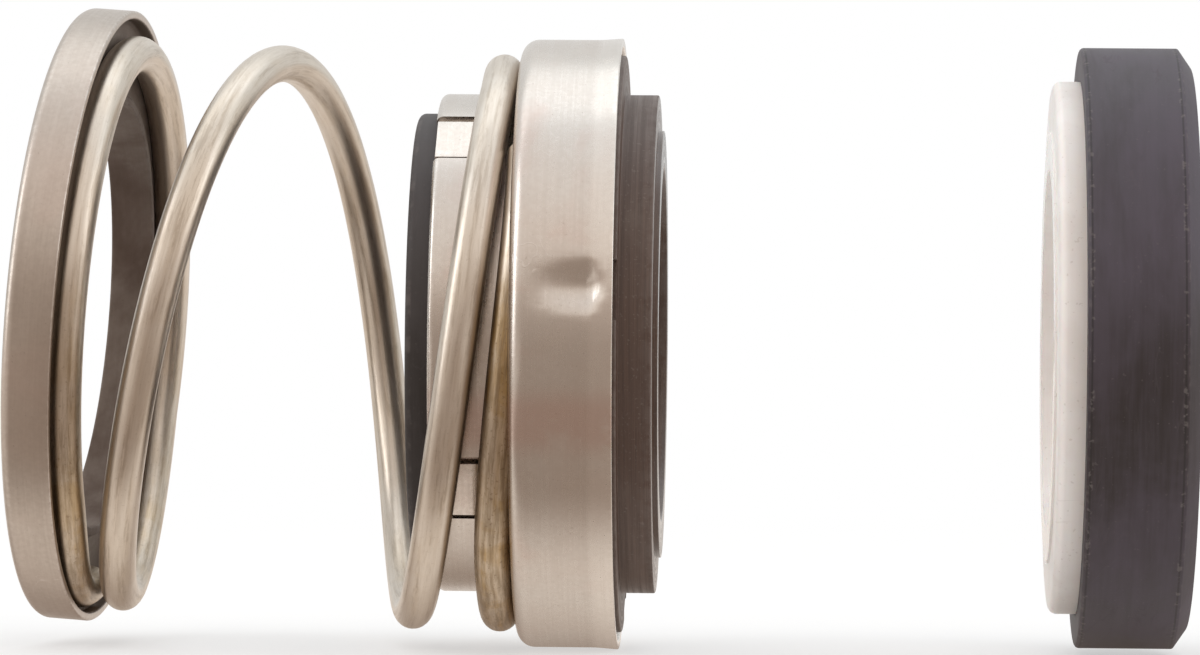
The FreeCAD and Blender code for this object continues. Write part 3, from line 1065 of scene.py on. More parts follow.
@dataclass
class SpringUnit:
    """The coil spring and the ring that holds its last coil."""

    sizes: Sizes
    effects: Effects
    spring_length: float = 24.75 * MM
    tip_thickness: float = 0.33 * MM
    case_end_angle: float = 43.0
    seated_angle: float = 100.0
    case_dead_angle: float = 333.0
    active_angle: float = 590.0
    even_pitch_share: float = 0.3
    holder_dead_angle: float = 240.0
    holder_seated_angle: float = 60.0
    spring_lean: float = 3.9
    spring_turn: float = 5.0
    lean_power: float = 1.5
    rim_wall: float = 0.5 * MM
    rim_clearance: float = 0.6 * MM
    groove_depth: float = 0.75 * MM
    web: float = 2.1 * MM
    hole_clearance: float = 2.955 * MM
    hub_wall: float = 0.5 * MM
    hub_height: float = 0.45 * MM
    coil_drop: float = 0.35 * MM
    rim_back_round: float = 0.6 * MM
    wire_step: float = 3.0
    wire_sides: int = 32
    look_ahead: float = 0.5

    @property
    def whole_travel(self) -> float:
        """Return the travel of the whole wire in degrees."""
        return (self.case_dead_angle + self.active_angle + self.holder_dead_angle
                + self.holder_seated_angle)

    def wire_height(self, travel: float) -> float:
        """Return the wire centre's distance from the case seat after a travel in degrees."""
        wire_radius = self.sizes.wire_radius
        tip_centre = self.tip_thickness - wire_radius
        last_centre = self.spring_length - wire_radius
        active = min(max((travel - self.case_dead_angle) / self.active_angle, 0.0), 1.0)
        pitch = self.even_pitch_share * active + (1 - self.even_pitch_share) * eased(active)
        holder_start = self.case_dead_angle + self.active_angle + self.holder_dead_angle
        height = tip_centre + (wire_radius - tip_centre) * eased(travel / self.seated_angle)
        height += (last_centre - wire_radius) * pitch
        height += wire_radius * eased((travel - holder_start) / self.holder_seated_angle)
        return height

    def spring_axis(self, height: float) -> Matrix:
        """Place the leaning spring axis at a height.

        Args:
            height: The distance from the case seat.

        Returns:
            A placement with X along the spring, Y to the front and Z up.
        """
        length = self.spring_length - self.sizes.wire_radius
        share = max(height - self.sizes.wire_radius, 0.0) / length
        slope = share ** (self.lean_power - 1)
        sideways = math.tan(math.radians(self.spring_turn)) * slope
        upwards = math.tan(math.radians(self.spring_lean)) * slope
        reach = length * share / self.lean_power
        along = Vector((-1, sideways, upwards)).normalized()
        front = Vector((0, -1, 0))
        front = (front - along * front.dot(along)).normalized()
        place = Matrix((along, front, along.cross(front))).transposed().to_4x4()
        place.translation = (self.sizes.case_seat - height, sideways * reach, upwards * reach)
        return place

    def wire_point(self, travel: float) -> Vector:
        """Return the centre of the wire after a travel in degrees from the case-end tip."""
        angle = math.radians(self.case_end_angle - travel)
        radius = self.sizes.coil_radius
        local = Vector((0, radius * math.cos(angle), radius * math.sin(angle)))
        return self.spring_axis(self.wire_height(travel)) @ local

    def wire_section(self, travel: float) -> Matrix:
        """Place the wire's round section, X outwards from the coil and Z along the wire."""
        centre = self.wire_point(travel)
        ahead = (self.wire_point(travel + self.look_ahead)
                 - self.wire_point(travel - self.look_ahead)).normalized()
        outward = centre - self.spring_axis(self.wire_height(travel)).translation
        outward = (outward - ahead * outward.dot(ahead)).normalized()
        place = Matrix((outward, ahead.cross(outward), ahead)).transposed().to_4x4()
        place.translation = centre
        return place

    def swept_wire(self) -> bmesh.types.BMesh:
        """Sweep the wire's section along its coils.

        Returns:
            An open tube, with the share of the travel and the way round the wire on each
            vertex, as the coil and around attributes.
        """
        bm = bmesh.new()
        coil = bm.verts.layers.float.new("coil")
        around = bm.verts.layers.float.new("around")
        steps = round(self.whole_travel / self.wire_step)
        last = self.wire_section(0.0)
        ring = bmesh.ops.create_circle(bm, cap_ends=False, segments=self.wire_sides,
                                       radius=self.sizes.wire_radius, matrix=last)["verts"]
        edges = list(bm.edges)
        for step in range(steps + 1):
            here = self.wire_section(self.whole_travel * step / steps)
            if step > 0:
                grown = bmesh.ops.extrude_edge_only(bm, edges=edges)["geom"]
                ring = [item for item in grown if isinstance(item, bmesh.types.BMVert)]
                edges = [item for item in grown if isinstance(item, bmesh.types.BMEdge)]
                bmesh.ops.transform(bm, matrix=here @ last.inverted(), verts=ring)
            back = here.inverted()
            for vert in ring:
                local = back @ vert.co
                vert[coil] = step / steps
                vert[around] = (math.atan2(local.y, local.x) / FULL_TURN) % 1.0
            last = here
        return bm

    def lay_out_wire(self, bm: bmesh.types.BMesh) -> None:
        """Write the way along the wire, in girths, and the way round it as the UV map."""
        coil = bm.verts.layers.float["coil"]
        around = bm.verts.layers.float["around"]
        uv = bm.loops.layers.uv.new("UVMap")
        girths = math.radians(self.whole_travel) * self.sizes.coil_radius
        girths /= FULL_TURN * self.sizes.wire_radius
        for face in bm.faces:
            shares = [loop.vert[around] for loop in face.loops]
            wraps = max(shares) - min(shares) > 0.5
            for loop, share in zip(face.loops, shares):
                lifted = share + 1.0 if wraps and share < 0.5 else share
                loop[uv].uv = (loop.vert[coil] * girths, lifted)

    @staticmethod
    def grind(bm: bmesh.types.BMesh, point: Vector, outward: Vector) -> None:
        """Cut the wire flat at a plane and close the cut with faces of the ground finish."""
        geometry = list(bm.verts) + list(bm.edges) + list(bm.faces)
        cut = bmesh.ops.bisect_plane(bm, geom=geometry, dist=CUT_TOLERANCE, plane_co=point,
                                     plane_no=outward, clear_outer=True)["geom_cut"]
        edges = [item for item in cut if isinstance(item, bmesh.types.BMEdge)]
        filled = bmesh.ops.triangle_fill(bm, edges=edges, use_beauty=True, use_dissolve=False,
                                         normal=outward)["geom"]
        for item in filled:
            if isinstance(item, bmesh.types.BMFace):
                item.material_index = 1

    def make_spring(self) -> bpy.types.Object:
        """Make the left-hand coil spring, with closed ends that are ground flat."""
        bm = self.swept_wire()
        self.lay_out_wire(bm)
        ends = [edge for edge in bm.edges if edge.is_boundary]
        bmesh.ops.holes_fill(bm, edges=ends, sides=0)
        bmesh.ops.recalc_face_normals(bm, faces=list(bm.faces))
        holder_end = self.spring_axis(self.spring_length)
        self.grind(bm, Vector((self.sizes.case_seat, 0, 0)), SHAFT_AXIS)
        self.grind(bm, holder_end.translation, holder_end.col[0].to_3d())
        piece = make_object("coil_spring", bm)
        shade(piece)
        start = Vector((self.sizes.case_seat, 0, 0))
        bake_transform(piece, Body.FACE.value, Body.HOLDER.value, start, holder_end.translation)
        self.keep_wire_round(piece)
        return piece

    def keep_wire_round(self, piece: bpy.types.Object) -> None:
        """Give each section of the wire one share of the travel, so that it stays round."""
        shares = piece.data.attributes["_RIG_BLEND"].data
        coil = piece.data.attributes["coil"].data
        sections = {}
        for share, place in zip(shares, coil):
            sections.setdefault(round(place.value, 4), []).append(share.value)
        for share, place in zip(shares, coil):
            values = sections[round(place.value, 4)]
            share.value = sum(values) / len(values)

    @property
    def hub_outer(self) -> float:
        """Return the outer radius of the holder's hub."""
        return self.sizes.shaft_radius + self.hole_clearance + self.hub_wall

    @property
    def rim_inner(self) -> float:
        """Return the inner radius of the holder's rim."""
        return self.sizes.coil_radius + self.sizes.wire_radius + self.rim_clearance

    @property
    def holder_place(self) -> Matrix:
        """Return the holder's own placement, X along its axis towards its back."""
        place = self.spring_axis(self.spring_length)
        return Matrix.Translation(place.col[2].to_3d() * self.coil_drop) @ place

    def make_holder(self) -> bpy.types.Object:
        """Make the ring with a groove for the last coil, a thin rim and a low hub."""
        rim_inner, hub_outer = self.rim_inner, self.hub_outer
        rim_outer = rim_inner + self.rim_wall - FACET_ALLOWANCE
        hole = hub_outer - self.hub_wall
        bm = turned([
            Corner(self.web, hole, EASED_EDGE),
            Corner(self.web, rim_outer, self.rim_back_round, 10),
            Corner(-self.groove_depth, rim_outer, BROKEN_EDGE),
            Corner(-self.groove_depth, rim_inner, BROKEN_EDGE),
            Corner(0, rim_inner, EASED_EDGE),
            Corner(0, hub_outer, EASED_EDGE),
            Corner(-self.hub_height, hub_outer, TRIMMED_EDGE),
            Corner(-self.hub_height, hole, TRIMMED_EDGE),
        ], steps=FINE_STEPS)
        bmesh.ops.transform(bm, matrix=self.holder_place, verts=list(bm.verts))
        bmesh.ops.recalc_face_normals(bm, faces=list(bm.faces))
        piece = make_object("spring_holder_ring", bm)
        shade(piece)
        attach(piece, Body.HOLDER.value)
        return piece

    def build(self) -> list[bpy.types.Object]:
        """Build the spring and its holder in place of their solids."""
        spring = self.make_spring()
        dress(spring, DrawnWire("drawn spring wire", self.effects).material(),
              GroundWire("ground wire end", self.effects).material())
        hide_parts("spring")
        holder = self.make_holder()
        # The holder's steel has painted shade in its hub bore and its groove.
        dress(holder, SheetSteel(
            "holder steel", self.effects, smudge=0.2, roughness=0.31, tint=0.1,
            light=shade_of(190, 180, 170), dark=shade_of(154, 141, 130),
            place=self.holder_place, shaded_radius=self.hub_outer + 0.3 * MM,
            shaded_groove_radius=self.rim_inner + 0.12 * MM).material())
        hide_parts("spring_holder")
        return [spring, holder]


@dataclass
class ShaftDrive:
    """The rubber bellows that grips the shaft and the drive band on its tail."""

    sizes: Sizes
    effects: Effects
    grip_length: float = 5.2 * MM
    sleeve_clearance: float = 1.3 * MM
    sleeve_wall: float = 0.9 * MM
    band_length: float = 3.55 * MM
    flange_clearance: float = 0.3 * MM
    tail_bore_round: float = 0.2 * MM
    tail_round: float = 0.4 * MM
    ear_round: float = 0.09 * MM

    def make_bellows(self) -> bpy.types.Object:
        """Make the bellows: shaft grip, sleeve, one fold and the flange behind the ring."""
        sizes = self.sizes
        bore = sizes.shaft_radius
        step = sizes.neck_end + sizes.band_setback + self.band_length
        sleeve_inner = bore + self.sleeve_clearance
        sleeve_outer = sleeve_inner + self.sleeve_wall
        fold_outer = sizes.dent_floor - self.flange_clearance
        fold_inner = fold_outer - sizes.fold_wall
        fold_back = sizes.fold_start + sizes.fold_wall
        flange_back = sizes.ring_back - sizes.flange
        grip_end = sizes.tail_end + self.grip_length
        bm = turned([
            Corner(sizes.tail_end, bore, self.tail_bore_round),
            Corner(sizes.tail_end, sizes.tail_radius, self.tail_round, 8),
            Corner(step, sizes.tail_radius, TRIMMED_EDGE),
            Corner(step, sleeve_outer, MOULDED_EDGE),
            Corner(sizes.fold_start, sleeve_outer, TRIMMED_EDGE),
            Corner(sizes.fold_start, fold_outer, MOULDED_EDGE),
            Corner(sizes.ring_back, fold_outer, TRIMMED_EDGE),
            Corner(sizes.ring_back, sleeve_inner, TRIMMED_EDGE),
            Corner(flange_back, sleeve_inner, TRIMMED_EDGE),
            Corner(flange_back, fold_inner, MOULDED_EDGE),
            Corner(fold_back, fold_inner, MOULDED_EDGE),
            Corner(fold_back, sleeve_inner, TRIMMED_EDGE),
            Corner(grip_end, sleeve_inner, MOULDED_EDGE),
            Corner(grip_end, bore, MOULDED_EDGE),
        ])
        piece = make_object("rubber_bellows", bm)
        shade(piece)
        start = Vector((fold_back, 0, 0))
        end = Vector((step, 0, 0))
        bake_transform(piece, Body.FACE.value, Body.GRIP.value, start, end)
        return piece

    def make_band(self) -> bpy.types.Object:
        """Make the sheet ring with flat hollow ears pressed out of it."""
        sizes = self.sizes
        start = sizes.neck_end + sizes.band_setback
        end = start + self.band_length
        piece = make_object("drive_band_ring", turned([
            Corner(start, sizes.band_inner),
            Corner(start, sizes.band_outer),
            Corner(end, sizes.band_outer),
            Corner(end, sizes.band_inner),
        ]))
        flat = sizes.neck_outer - sizes.ear_recess
        root = sizes.band_inner + sizes.sheet / 2
        angles = spread(sizes.ear_angle, sizes.ear_count)
        ears = [front_block(start, sizes.ear_length, root, flat, sizes.ear_width, angle)
                for angle in angles]
        combine(piece, merged(ears), "UNION")
        hollows = [front_block(start + sizes.sheet, sizes.ear_length - 2 * sizes.sheet,
                               sizes.band_inner - sizes.sheet, flat - sizes.sheet,
                               sizes.ear_width - 2 * sizes.sheet, angle)
                   for angle in angles]
        combine(piece, merged(hollows), "DIFFERENCE")
        soften_edges(piece, self.ear_round, 3)
        shade(piece)
        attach(piece, Body.GRIP.value)
        return piece

    def build(self) -> list[bpy.types.Object]:
        """Build the bellows and the drive band in place of their solids."""
        bellows = self.make_bellows()
        dress(bellows, MouldedRubber("bellows rubber", self.effects, shade_of(60, 54, 53),
                                     shade_of(78, 72, 73), shade_of(44, 38, 35)).material())
        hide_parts("bellows")
        band = self.make_band()
        dress(band, SheetSteel("band steel", self.effects, smudge=0.05, roughness=0.24,
                               light=shade_of(224, 217, 209)).material())
        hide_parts("drive_band")
        return [bellows, band]


@dataclass
class FaceUnit:
    """The stamped retainer and the carbon ring that it turns."""

    sizes: Sizes
    effects: Effects
    neck_edge_round: float = 0.42 * MM
    shoulder_bend: float = 0.8 * MM
    case_bend: float = 1.0 * MM
    flare: float = 0.1 * MM
    flare_length: float = 1.3 * MM
    flare_blend: float = 5.0 * MM
    slot_gap: float = 0.36 * MM
    slot_offset: float = 0.6
    bellows_travel: float = 1.0 * MM
    slot_end_gap: float = 0.15 * MM
    dent_radius: float = 1.75 * MM
    dent_length: float = 2.75 * MM
    dent_from_rim: float = 0.72 * MM
    dent_roll: float = 0.12 * MM
    # Height of the painted pink reflection strip on the case's front.
    reflection_strip_height: float = -4.4 * MM
    dent_reach: float = 1.9 * MM
    dent_stretch: float = 1.35
    dent_bowl: float = 0.62 * MM
    dent_bow: float = 0.16
    case_run: float = 3.5 * MM
    case_inset: float = 1.0 * MM
    case_cuts: int = 15
    shoulder_clearance: float = 0.4 * MM
    shoulder_proud: float = 0.18 * MM
    body_step: float = 2.08 * MM
    body_proud: float = 1.93 * MM
    nose_height: float = 0.3 * MM
    nose_round: float = 0.03 * MM
    nose_bore_round: float = 0.06 * MM
    notch_gap: float = 0.2 * MM

    @property
    def nose_front(self) -> float:
        """Return the plane of the primary ring's nose."""
        return self.sizes.rim_end + self.shoulder_proud + self.body_proud + self.nose_height

    @property
    def case_inner(self) -> float:
        """Return the inner radius of the case."""
        return self.sizes.case_outer - self.sizes.sheet

    @property
    def dent_angles(self) -> list[float]:
        """Return the dents' angles round the shaft."""
        return spread(self.sizes.dent_angle, self.sizes.dent_count)

    def stamping(self) -> bmesh.types.BMesh:
        """Turn the retainer's sheet: neck, shoulder, case and flared rim."""
        sizes = self.sizes
        neck_inner = sizes.neck_outer - sizes.sheet
        flare_start = sizes.rim_end - self.flare_length
        front = sizes.case_seat + sizes.sheet
        return turned([
            Corner(sizes.neck_end, neck_inner),
            Corner(sizes.neck_end, sizes.neck_outer, self.neck_edge_round, 8),
            Corner(sizes.case_seat, sizes.neck_outer, self.shoulder_bend - sizes.sheet),
            Corner(sizes.case_seat, sizes.case_outer, self.case_bend, 12),
            Corner(flare_start, sizes.case_outer, self.flare_blend, 8),
            Corner(sizes.rim_end, sizes.case_outer + self.flare, CRISP_EDGE, 3),
            Corner(sizes.rim_end, self.case_inner + self.flare, CRISP_EDGE, 3),
            Corner(flare_start, self.case_inner, self.flare_blend, 8),
            Corner(front, self.case_inner, self.case_bend - sizes.sheet),
            Corner(front, neck_inner, self.shoulder_bend),
        ], steps=FINE_STEPS)

    def press_dent(self, bm: bmesh.types.BMesh, angle: float) -> None:
        """Press one dent into the case, flat towards the rim and round elsewhere.

        Args:
            bm: The stamping.
            angle: The dent's angle round the shaft.
        """
        sizes = self.sizes
        reach = math.sqrt(self.dent_radius ** 2 - (self.dent_radius - sizes.dent_depth) ** 2)
        front = sizes.rim_end - self.dent_from_rim
        centre_x = front - self.dent_length + reach
        to_front = round_shaft(angle).inverted()
        window = self.dent_reach

        def near(place: Vector) -> bool:
            """Return whether a place of the case lies in the dent's window."""
            local = to_front @ place
            return (-window * self.dent_stretch < local.x - centre_x < window
                    and abs(local.z) < window and -local.y > self.case_inner - sizes.sheet)

        faces = [face for face in bm.faces if near(face.calc_center_median())]
        edges = list({edge for face in faces for edge in face.edges})
        bmesh.ops.subdivide_edges(bm, edges=edges, cuts=2, use_grid_fill=True)
        middle = sizes.case_outer - sizes.sheet / 2
        for vert in bm.verts:
            if not near(vert.co):
                continue
            local = to_front @ vert.co
            distance = math.hypot(local.y, local.z)
            growth = 0.0 if distance > middle else sizes.sheet
            wall = front + growth - self.dent_bow * local.z ** 2 / MM
            flat = 1 - eased((local.x - wall + self.dent_roll) / (2 * self.dent_roll))
            along = local.x - centre_x
            along = along / self.dent_stretch if along < 0 else along
            away = math.hypot(along, local.z) / self.dent_reach
            local.y += self.dent_bowl * (1 - eased(away)) * flat
            vert.co = round_shaft(angle) @ local

    def make_retainer(self) -> bpy.types.Object:
        """Make the stamped retainer with its slots and dents."""
        sizes = self.sizes
        piece = make_object("stamped_retainer", self.stamping())
        slot_width = sizes.ear_width + 2 * self.slot_gap
        slot_length = (sizes.band_setback + sizes.ear_length + self.bellows_travel
                       + self.slot_end_gap)
        slots = [front_block(sizes.neck_end - sizes.sheet, slot_length + sizes.sheet,
                             sizes.band_inner - sizes.sheet, sizes.neck_outer + sizes.sheet,
                             slot_width, angle)
                 for angle in spread(sizes.ear_angle + self.slot_offset, sizes.ear_count)]
        combine(piece, merged(slots), "DIFFERENCE")
        bm = bmesh.new()
        bm.from_mesh(piece.data)
        runs = [edge for edge in bm.edges
                if edge.calc_length() > self.case_run
                and min(math.hypot(vert.co.y, vert.co.z) for vert in edge.verts)
                > sizes.neck_outer + self.case_inset]
        bmesh.ops.subdivide_edges(bm, edges=runs, cuts=self.case_cuts,
                                  use_grid_fill=True)
        for angle in self.dent_angles:
            self.press_dent(bm, angle)
        bm.to_mesh(piece.data)
        bm.free()
        shade(piece)
        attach(piece, Body.FACE.value)
        return piece

    def make_primary_ring(self) -> bpy.types.Object:
        """Make the carbon ring with a notched shoulder and a narrow raised nose."""
        sizes = self.sizes
        shoulder = self.case_inner - self.shoulder_clearance
        body = sizes.nose_radius + self.body_step
        shoulder_front = sizes.rim_end + self.shoulder_proud
        body_front = shoulder_front + self.body_proud
        piece = make_object("carbon_primary_ring", turned([
            Corner(sizes.ring_back, sizes.ring_bore, EASED_EDGE, 3),
            Corner(sizes.ring_back, shoulder, BROKEN_EDGE, 4),
            Corner(shoulder_front, shoulder, BROKEN_EDGE, 4),
            Corner(shoulder_front, body, CRISP_EDGE, 3),
            Corner(body_front, body, BROKEN_EDGE, 4),
            Corner(body_front, sizes.nose_radius, LAPPED_EDGE, 2),
            Corner(self.nose_front, sizes.nose_radius, self.nose_round, 2),
            Corner(self.nose_front, sizes.ring_bore, self.nose_bore_round, 3),
        ], steps=FINE_STEPS))
        bulge = self.dent_radius + sizes.sheet
        drop = sizes.dent_floor + bulge - shoulder
        width = 2 * (math.sqrt(bulge ** 2 - drop ** 2) + self.notch_gap)
        length = shoulder_front - sizes.ring_back + 2 * sizes.sheet
        notches = [front_block(sizes.ring_back - sizes.sheet, length,
                               sizes.dent_floor - self.notch_gap, sizes.case_outer, width, angle)
                   for angle in self.dent_angles]
        combine(piece, merged(notches), "DIFFERENCE")
        shade(piece)
        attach(piece, Body.FACE.value)
        return piece

    def build(self) -> list[bpy.types.Object]:
        """Build the retainer and the carbon ring in place of their solids."""
        retainer = self.make_retainer()
        # The retainer's steel carries a painted pink reflection strip on its front.
        dress(retainer, SheetSteel(
            "retainer steel", self.effects, reflection_strip_height=self.reflection_strip_height,
            burnished_from=self.sizes.rim_end - self.flare_length).material())
        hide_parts("retainer")
        ring = self.make_primary_ring()
        dress(ring, CarbonGraphite("carbon graphite", self.effects, self.nose_front,
                                   self.nose_front - self.nose_height).material())
        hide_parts("primary_ring")
        return [retainer, ring]


@dataclass
class StationarySeat:
    """The ceramic mating ring and the rubber cup round it."""

    sizes: Sizes
    effects: Effects
    nose_front: float
    mating_thickness: float = 6.2 * MM
    mating_step: float = 2.945 * MM
    mating_edge_round: float = 0.5 * MM
    land_margin: float = 0.1 * MM
    land_height: float = 0.15 * MM
    land_round: float = 0.05 * MM
    cup_wall: float = 1.95 * MM
    cup_fit: float = 0.02 * MM
    mating_proud: float = 1.7 * MM
    cup_floor: float = 1.9 * MM
    cup_hole_margin: float = 1.2 * MM
    bevel_length: float = 0.76 * MM
    bevel_depth: float = 1.1 * MM
    cup_edge_round: float = 0.25 * MM
    front_seam: float = 0.22 * MM
    back_seam: float = 0.2 * MM

    @property
    def mating_front(self) -> float:
        """Return the plane of the lapped land."""
        return self.nose_front + self.sizes.seat_distance

    @property
    def mating_radius(self) -> float:
        """Return the outer radius of the mating ring."""
        return self.sizes.nose_radius + self.land_margin + self.mating_step

    def make_mating_ring(self) -> bpy.types.Object:
        """Make the ceramic ring with a rounded front edge and a raised lapped land."""
        sizes = self.sizes
        land = sizes.nose_radius + self.land_margin
        face = self.mating_front + self.land_height
        back = self.mating_front + self.mating_thickness
        piece = make_object("ceramic_mating_ring", turned([
            Corner(self.mating_front, sizes.ring_bore, TRIMMED_EDGE, 3),
            Corner(self.mating_front, land, self.land_round, 3),
            Corner(face, land, LAPPED_EDGE, 2),
            Corner(face, self.mating_radius, self.mating_edge_round, 10),
            Corner(back, self.mating_radius, BROKEN_EDGE, 3),
            Corner(back, sizes.ring_bore, TRIMMED_EDGE, 3),
        ]))
        shade(piece)
        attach(piece, Body.SEAT.value)
        return piece

    def make_cup(self) -> bpy.types.Object:
        """Make the rubber cup with its floor behind the ring and its bevelled back."""
        pocket = self.mating_radius + self.cup_fit
        outer = pocket + self.cup_wall
        hole = self.sizes.ring_bore + self.cup_hole_margin
        front = self.mating_front + self.mating_proud
        floor = self.mating_front + self.mating_thickness
        back = floor + self.cup_floor
        piece = make_object("rubber_seat_cup", turned([
            Corner(front, pocket, CRISP_EDGE, 3),
            Corner(front, outer, self.cup_edge_round),
            Corner(back - self.bevel_length, outer, BROKEN_EDGE, 4),
            Corner(back, outer - self.bevel_depth, BROKEN_EDGE, 4),
            Corner(back, hole, EASED_EDGE, 4),
            Corner(floor, hole),
            Corner(floor, pocket),
        ]))
        shade(piece)
        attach(piece, Body.SEAT.value)
        return piece

    def build(self) -> list[bpy.types.Object]:
        """Build the mating ring and its cup in place of their solids."""
        ring = self.make_mating_ring()
        dress(ring, Alumina("white alumina", self.effects, self.mating_front).material())
        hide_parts("mating_ring")
        cup = self.make_cup()
        back = self.mating_front + self.mating_thickness + self.cup_floor
        seams = (self.mating_front + self.mating_proud + self.front_seam,
                 back - self.bevel_length - self.back_seam)
        dress(cup, MouldedRubber("cup rubber", self.effects, shade_of(66, 60, 67),
                                 shade_of(86, 77, 90), shade_of(38, 28, 26), seams).material())
        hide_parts("seat_cup")
        return [ring, cup]


@dataclass(frozen=True)
class PaleFloor:
    """Pale matte floor that keeps the shadow near the object and fades to white beyond, and glows with a
    painted reflection tone for glossy rays.
    """

    name: str = "pale floor"
    fade_start: float = 60.0 * MM
    fade_end: float = 300.0 * MM
    dull_start: float = -11.0 * MM
    dull_end: float = -22.0 * MM
    dull_middle: float = -5.0 * MM
    dull: Colour = (0.38, 0.29, 0.23, 1.0)
    bright: Colour = (1.0, 0.91, 0.83, 1.0)
    dull_spread: float = 60.0 * MM
    # Reach and strength of the painted contact shade under the object, seen in reflections.
    contact_shade_reach: float = 10.0 * MM
    contact_shade_share: float = 0.8
    mirror_share: float = 0.88

    def mirrored_tone(self, desk: Surface) -> Socket:
        """Return the painted reflection tone that the floor glows with for shiny metal: dull before the
        object, bright behind it, darker right under it as painted contact shade.
        """
        along, across, _ = desk.split(desk.place)
        away = desk.maths("ABSOLUTE", across)
        front = desk.remap(across, self.dull_start, self.dull_end)
        beside = desk.maths("DIVIDE", desk.off(along, self.dull_middle),
                            desk.maths("ADD", self.dull_spread, away))
        front = desk.times(front, desk.remap(beside, 0.55, 0.25, 0.35, 1.0))
        # painted contact shade in reflections, right under the object
        under = desk.times(desk.remap(away, self.contact_shade_reach, 0.0), self.contact_shade_share)
        return desk.blend(desk.maths("MAXIMUM", front, under), self.bright, self.dull)

    def material(self) -> bpy.types.Material:
        """Build the material."""
        desk = Surface(self.name)
        distance = desk.add("ShaderNodeVectorMath", operation="LENGTH")
        desk.feed(distance.inputs[0], desk.place)
        away = desk.remap(distance.outputs["Value"], self.fade_start, self.fade_end, 0.55, 1.0)
        grain = desk.remap(desk.noise(desk.place, 220.0, 3.0), 0.3, 0.7, 0.94, 1.0)
        tone = desk.blend(grain, shade_of(226, 224, 221), shade_of(240, 239, 238))
        material = desk.finish({"Base Color": tone, "Roughness": 0.8})
        direct, glossy = desk.rays()
        surface = desk.shader.outputs[0]
        # The floor glows white for camera rays and with the painted reflection tone for glossy rays.
        for share, colour in ((desk.times(away, direct), (1.0, 1.0, 1.0, 1.0)),
                              (desk.times(glossy, self.mirror_share), self.mirrored_tone(desk))):
            glow = desk.wired("ShaderNodeEmission", colour)
            surface = desk.wired("ShaderNodeMixShader", share, surface, glow)
        desk.feed(desk.tree.nodes["Material Output"].inputs["Surface"], surface)
        return material


@dataclass(frozen=True)
class Softbox:
    """One soft lamp: where it stands, its width and height and its power in watts."""

    name: str
    place: tuple[float, float, float]
    size: tuple[float, float]
    power: float


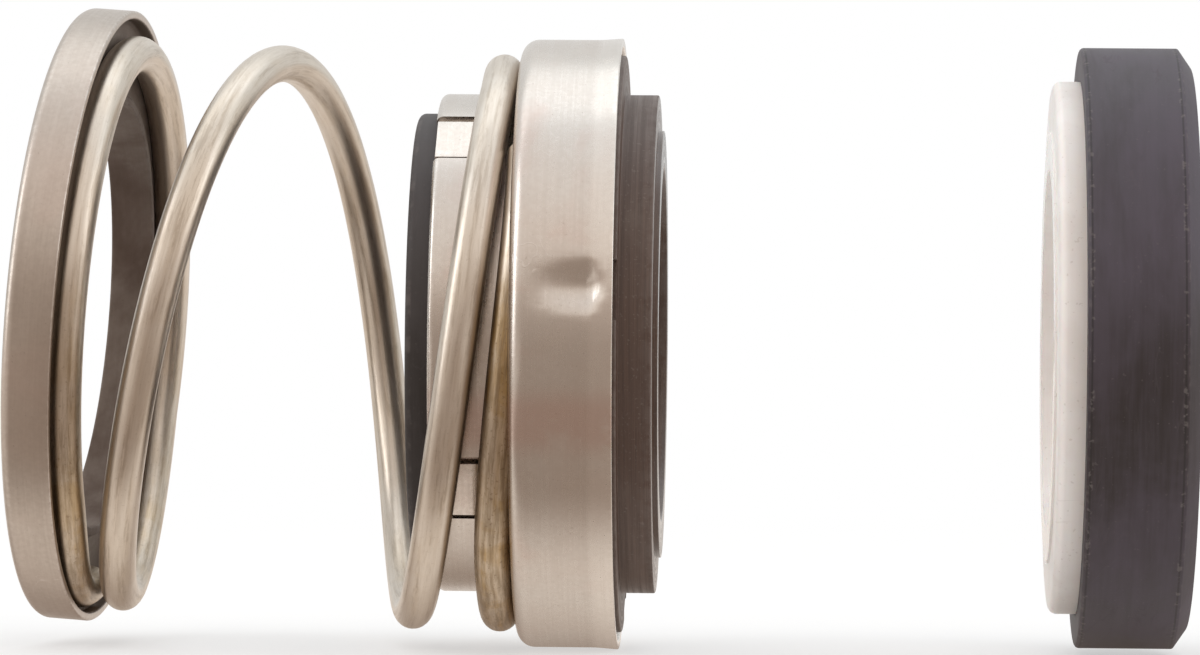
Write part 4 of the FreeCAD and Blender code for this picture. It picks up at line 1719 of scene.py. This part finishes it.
@dataclass
class Studio:
    """A pale floor, a white room with soft lamps and the camera."""

    lowest: float
    distance: float = 381.0 * MM
    camera_x: float = 20.84 * MM
    aim_x: float = 8.0 * MM
    aim_z: float = 0.95 * MM
    roll: float = 0.5
    lens: float = 195.8
    sensor_width: float = 36.0
    clip: tuple[float, float] = (0.01, 20.0)
    floor_size: float = 8.0
    lamp_colour: tuple[float, float, float] = (0.94, 0.97, 1.0)
    lamps: tuple[Softbox, ...] = (
        Softbox("overhead softbox", (0.0, 0.15, 0.42), (0.7, 0.26), 0.38),
        Softbox("left softbox", (-0.5, -0.06, 0.18), (0.2, 0.45), 0.56),
        Softbox("right softbox", (0.55, -0.1, 0.22), (0.3, 0.3), 0.28),
    )
    room_level: float = 1.35
    room_tones: tuple[tuple[float, Colour], ...] = (
        (0.0, (0.34, 0.28, 0.24, 1.0)), (0.1, (0.48, 0.41, 0.36, 1.0)),
        (0.19, (0.75, 0.69, 0.64, 1.0)), (0.34, (0.79, 0.75, 0.72, 1.0)),
        (0.5, (0.82, 0.84, 0.86, 1.0)), (0.7, (0.70, 0.73, 0.74, 1.0)),
        (0.85, (0.66, 0.67, 0.67, 1.0)), (1.0, (0.66, 0.66, 0.65, 1.0)),
    )

    @staticmethod
    def stand(name: str, data: bpy.types.ID, place: Vector, aim: Vector,
              roll: float = 0.0) -> bpy.types.Object:
        """Stand a camera or a lamp in the scene.

        Args:
            name: Its name.
            data: The camera's or the lamp's data.
            place: Where it stands.
            aim: The point that it faces.
            roll: Its turn round its own line of sight, in degrees.

        Returns:
            The new object.
        """
        thing = bpy.data.objects.new(name, data)
        bpy.context.scene.collection.objects.link(thing)
        turn_to = (aim - place).to_track_quat("-Z", "Y").to_matrix().to_4x4()
        spin = Matrix.Rotation(math.radians(roll), 4, "Z")
        thing.matrix_world = Matrix.Translation(place) @ turn_to @ spin
        return thing

    def set_camera(self) -> None:
        """Set the camera at the photograph's view."""
        data = bpy.data.cameras.new("camera")
        data.lens = self.lens
        data.sensor_width = self.sensor_width
        data.clip_start, data.clip_end = self.clip
        place = Vector((self.camera_x, -self.distance, self.aim_z))
        aim = Vector((self.aim_x, 0, self.aim_z))
        bpy.context.scene.camera = self.stand("camera", data, place, aim, self.roll)

    def lay_floor(self) -> None:
        """Lay the floor under the lowest point."""
        bm = bmesh.new()
        bmesh.ops.create_grid(bm, x_segments=2, y_segments=2, size=self.floor_size / 2,
                              matrix=Matrix.Translation((0, 0, self.lowest)))
        floor = make_object("floor", bm)
        dress(floor, PaleFloor().material())
        floor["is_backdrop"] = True

    def hang_lamps(self) -> None:
        """Hang the soft lamps, each turned to the middle of the object."""
        for lamp in self.lamps:
            data = bpy.data.lights.new(lamp.name, "AREA")
            data.shape = "RECTANGLE"
            data.size, data.size_y = lamp.size
            data.energy = lamp.power
            data.color = self.lamp_colour
            self.stand(lamp.name, data, Vector(lamp.place), Vector((self.aim_x, 0, 0)))

    def light_room(self) -> None:
        """Light the room: white where it is seen, duller and warmer on the camera's side."""
        world = bpy.data.worlds.new("white room")
        bpy.context.scene.world = world
        world.use_nodes = True
        desk = Desk(world.node_tree)
        place = desk.add("ShaderNodeTexCoord").outputs["Generated"]
        _, across, up = desk.split(place)
        angle = desk.maths("ARCTAN2", up, desk.times(across, -1.0))
        room = desk.ramp(desk.maths("DIVIDE", angle, math.pi), self.room_tones)
        direct, _ = desk.rays()
        background = world.node_tree.nodes["Background"]
        desk.feed(background.inputs["Color"], desk.blend(direct, room, (1.0, 1.0, 1.0, 1.0)))
        desk.feed(background.inputs["Strength"],
                  desk.remap(direct, 0.0, 1.0, self.room_level, 1.0))

    def build(self) -> None:
        """Build the studio."""
        bpy.context.scene.view_settings.view_transform = "Standard"
        self.set_camera()
        self.lay_floor()
        self.light_room()
        self.hang_lamps()


def triangles(piece: bpy.types.Object) -> int:
    """Return the number of triangles in a piece's mesh."""
    piece.data.calc_loop_triangles()
    return len(piece.data.loop_triangles)


def main() -> None:
    """Build every piece, dress it and set the studio."""
    logging.basicConfig(level=logging.INFO, format="%(message)s")
    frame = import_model()
    cad_box = [list(corner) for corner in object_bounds()]
    LOG.info("frame with %d solids", len(frame["nodes"]))
    sizes = Sizes()
    effects = Effects()
    face = FaceUnit(sizes, effects)
    seat = StationarySeat(sizes, effects, face.nose_front)
    for unit in (SpringUnit(sizes, effects), ShaftDrive(sizes, effects), face, seat):
        for piece in unit.build():
            LOG.info("%s: %d triangles", piece.name, triangles(piece))
    Studio(cad_box[0][2]).build()


if __name__ == "__main__":
    main()
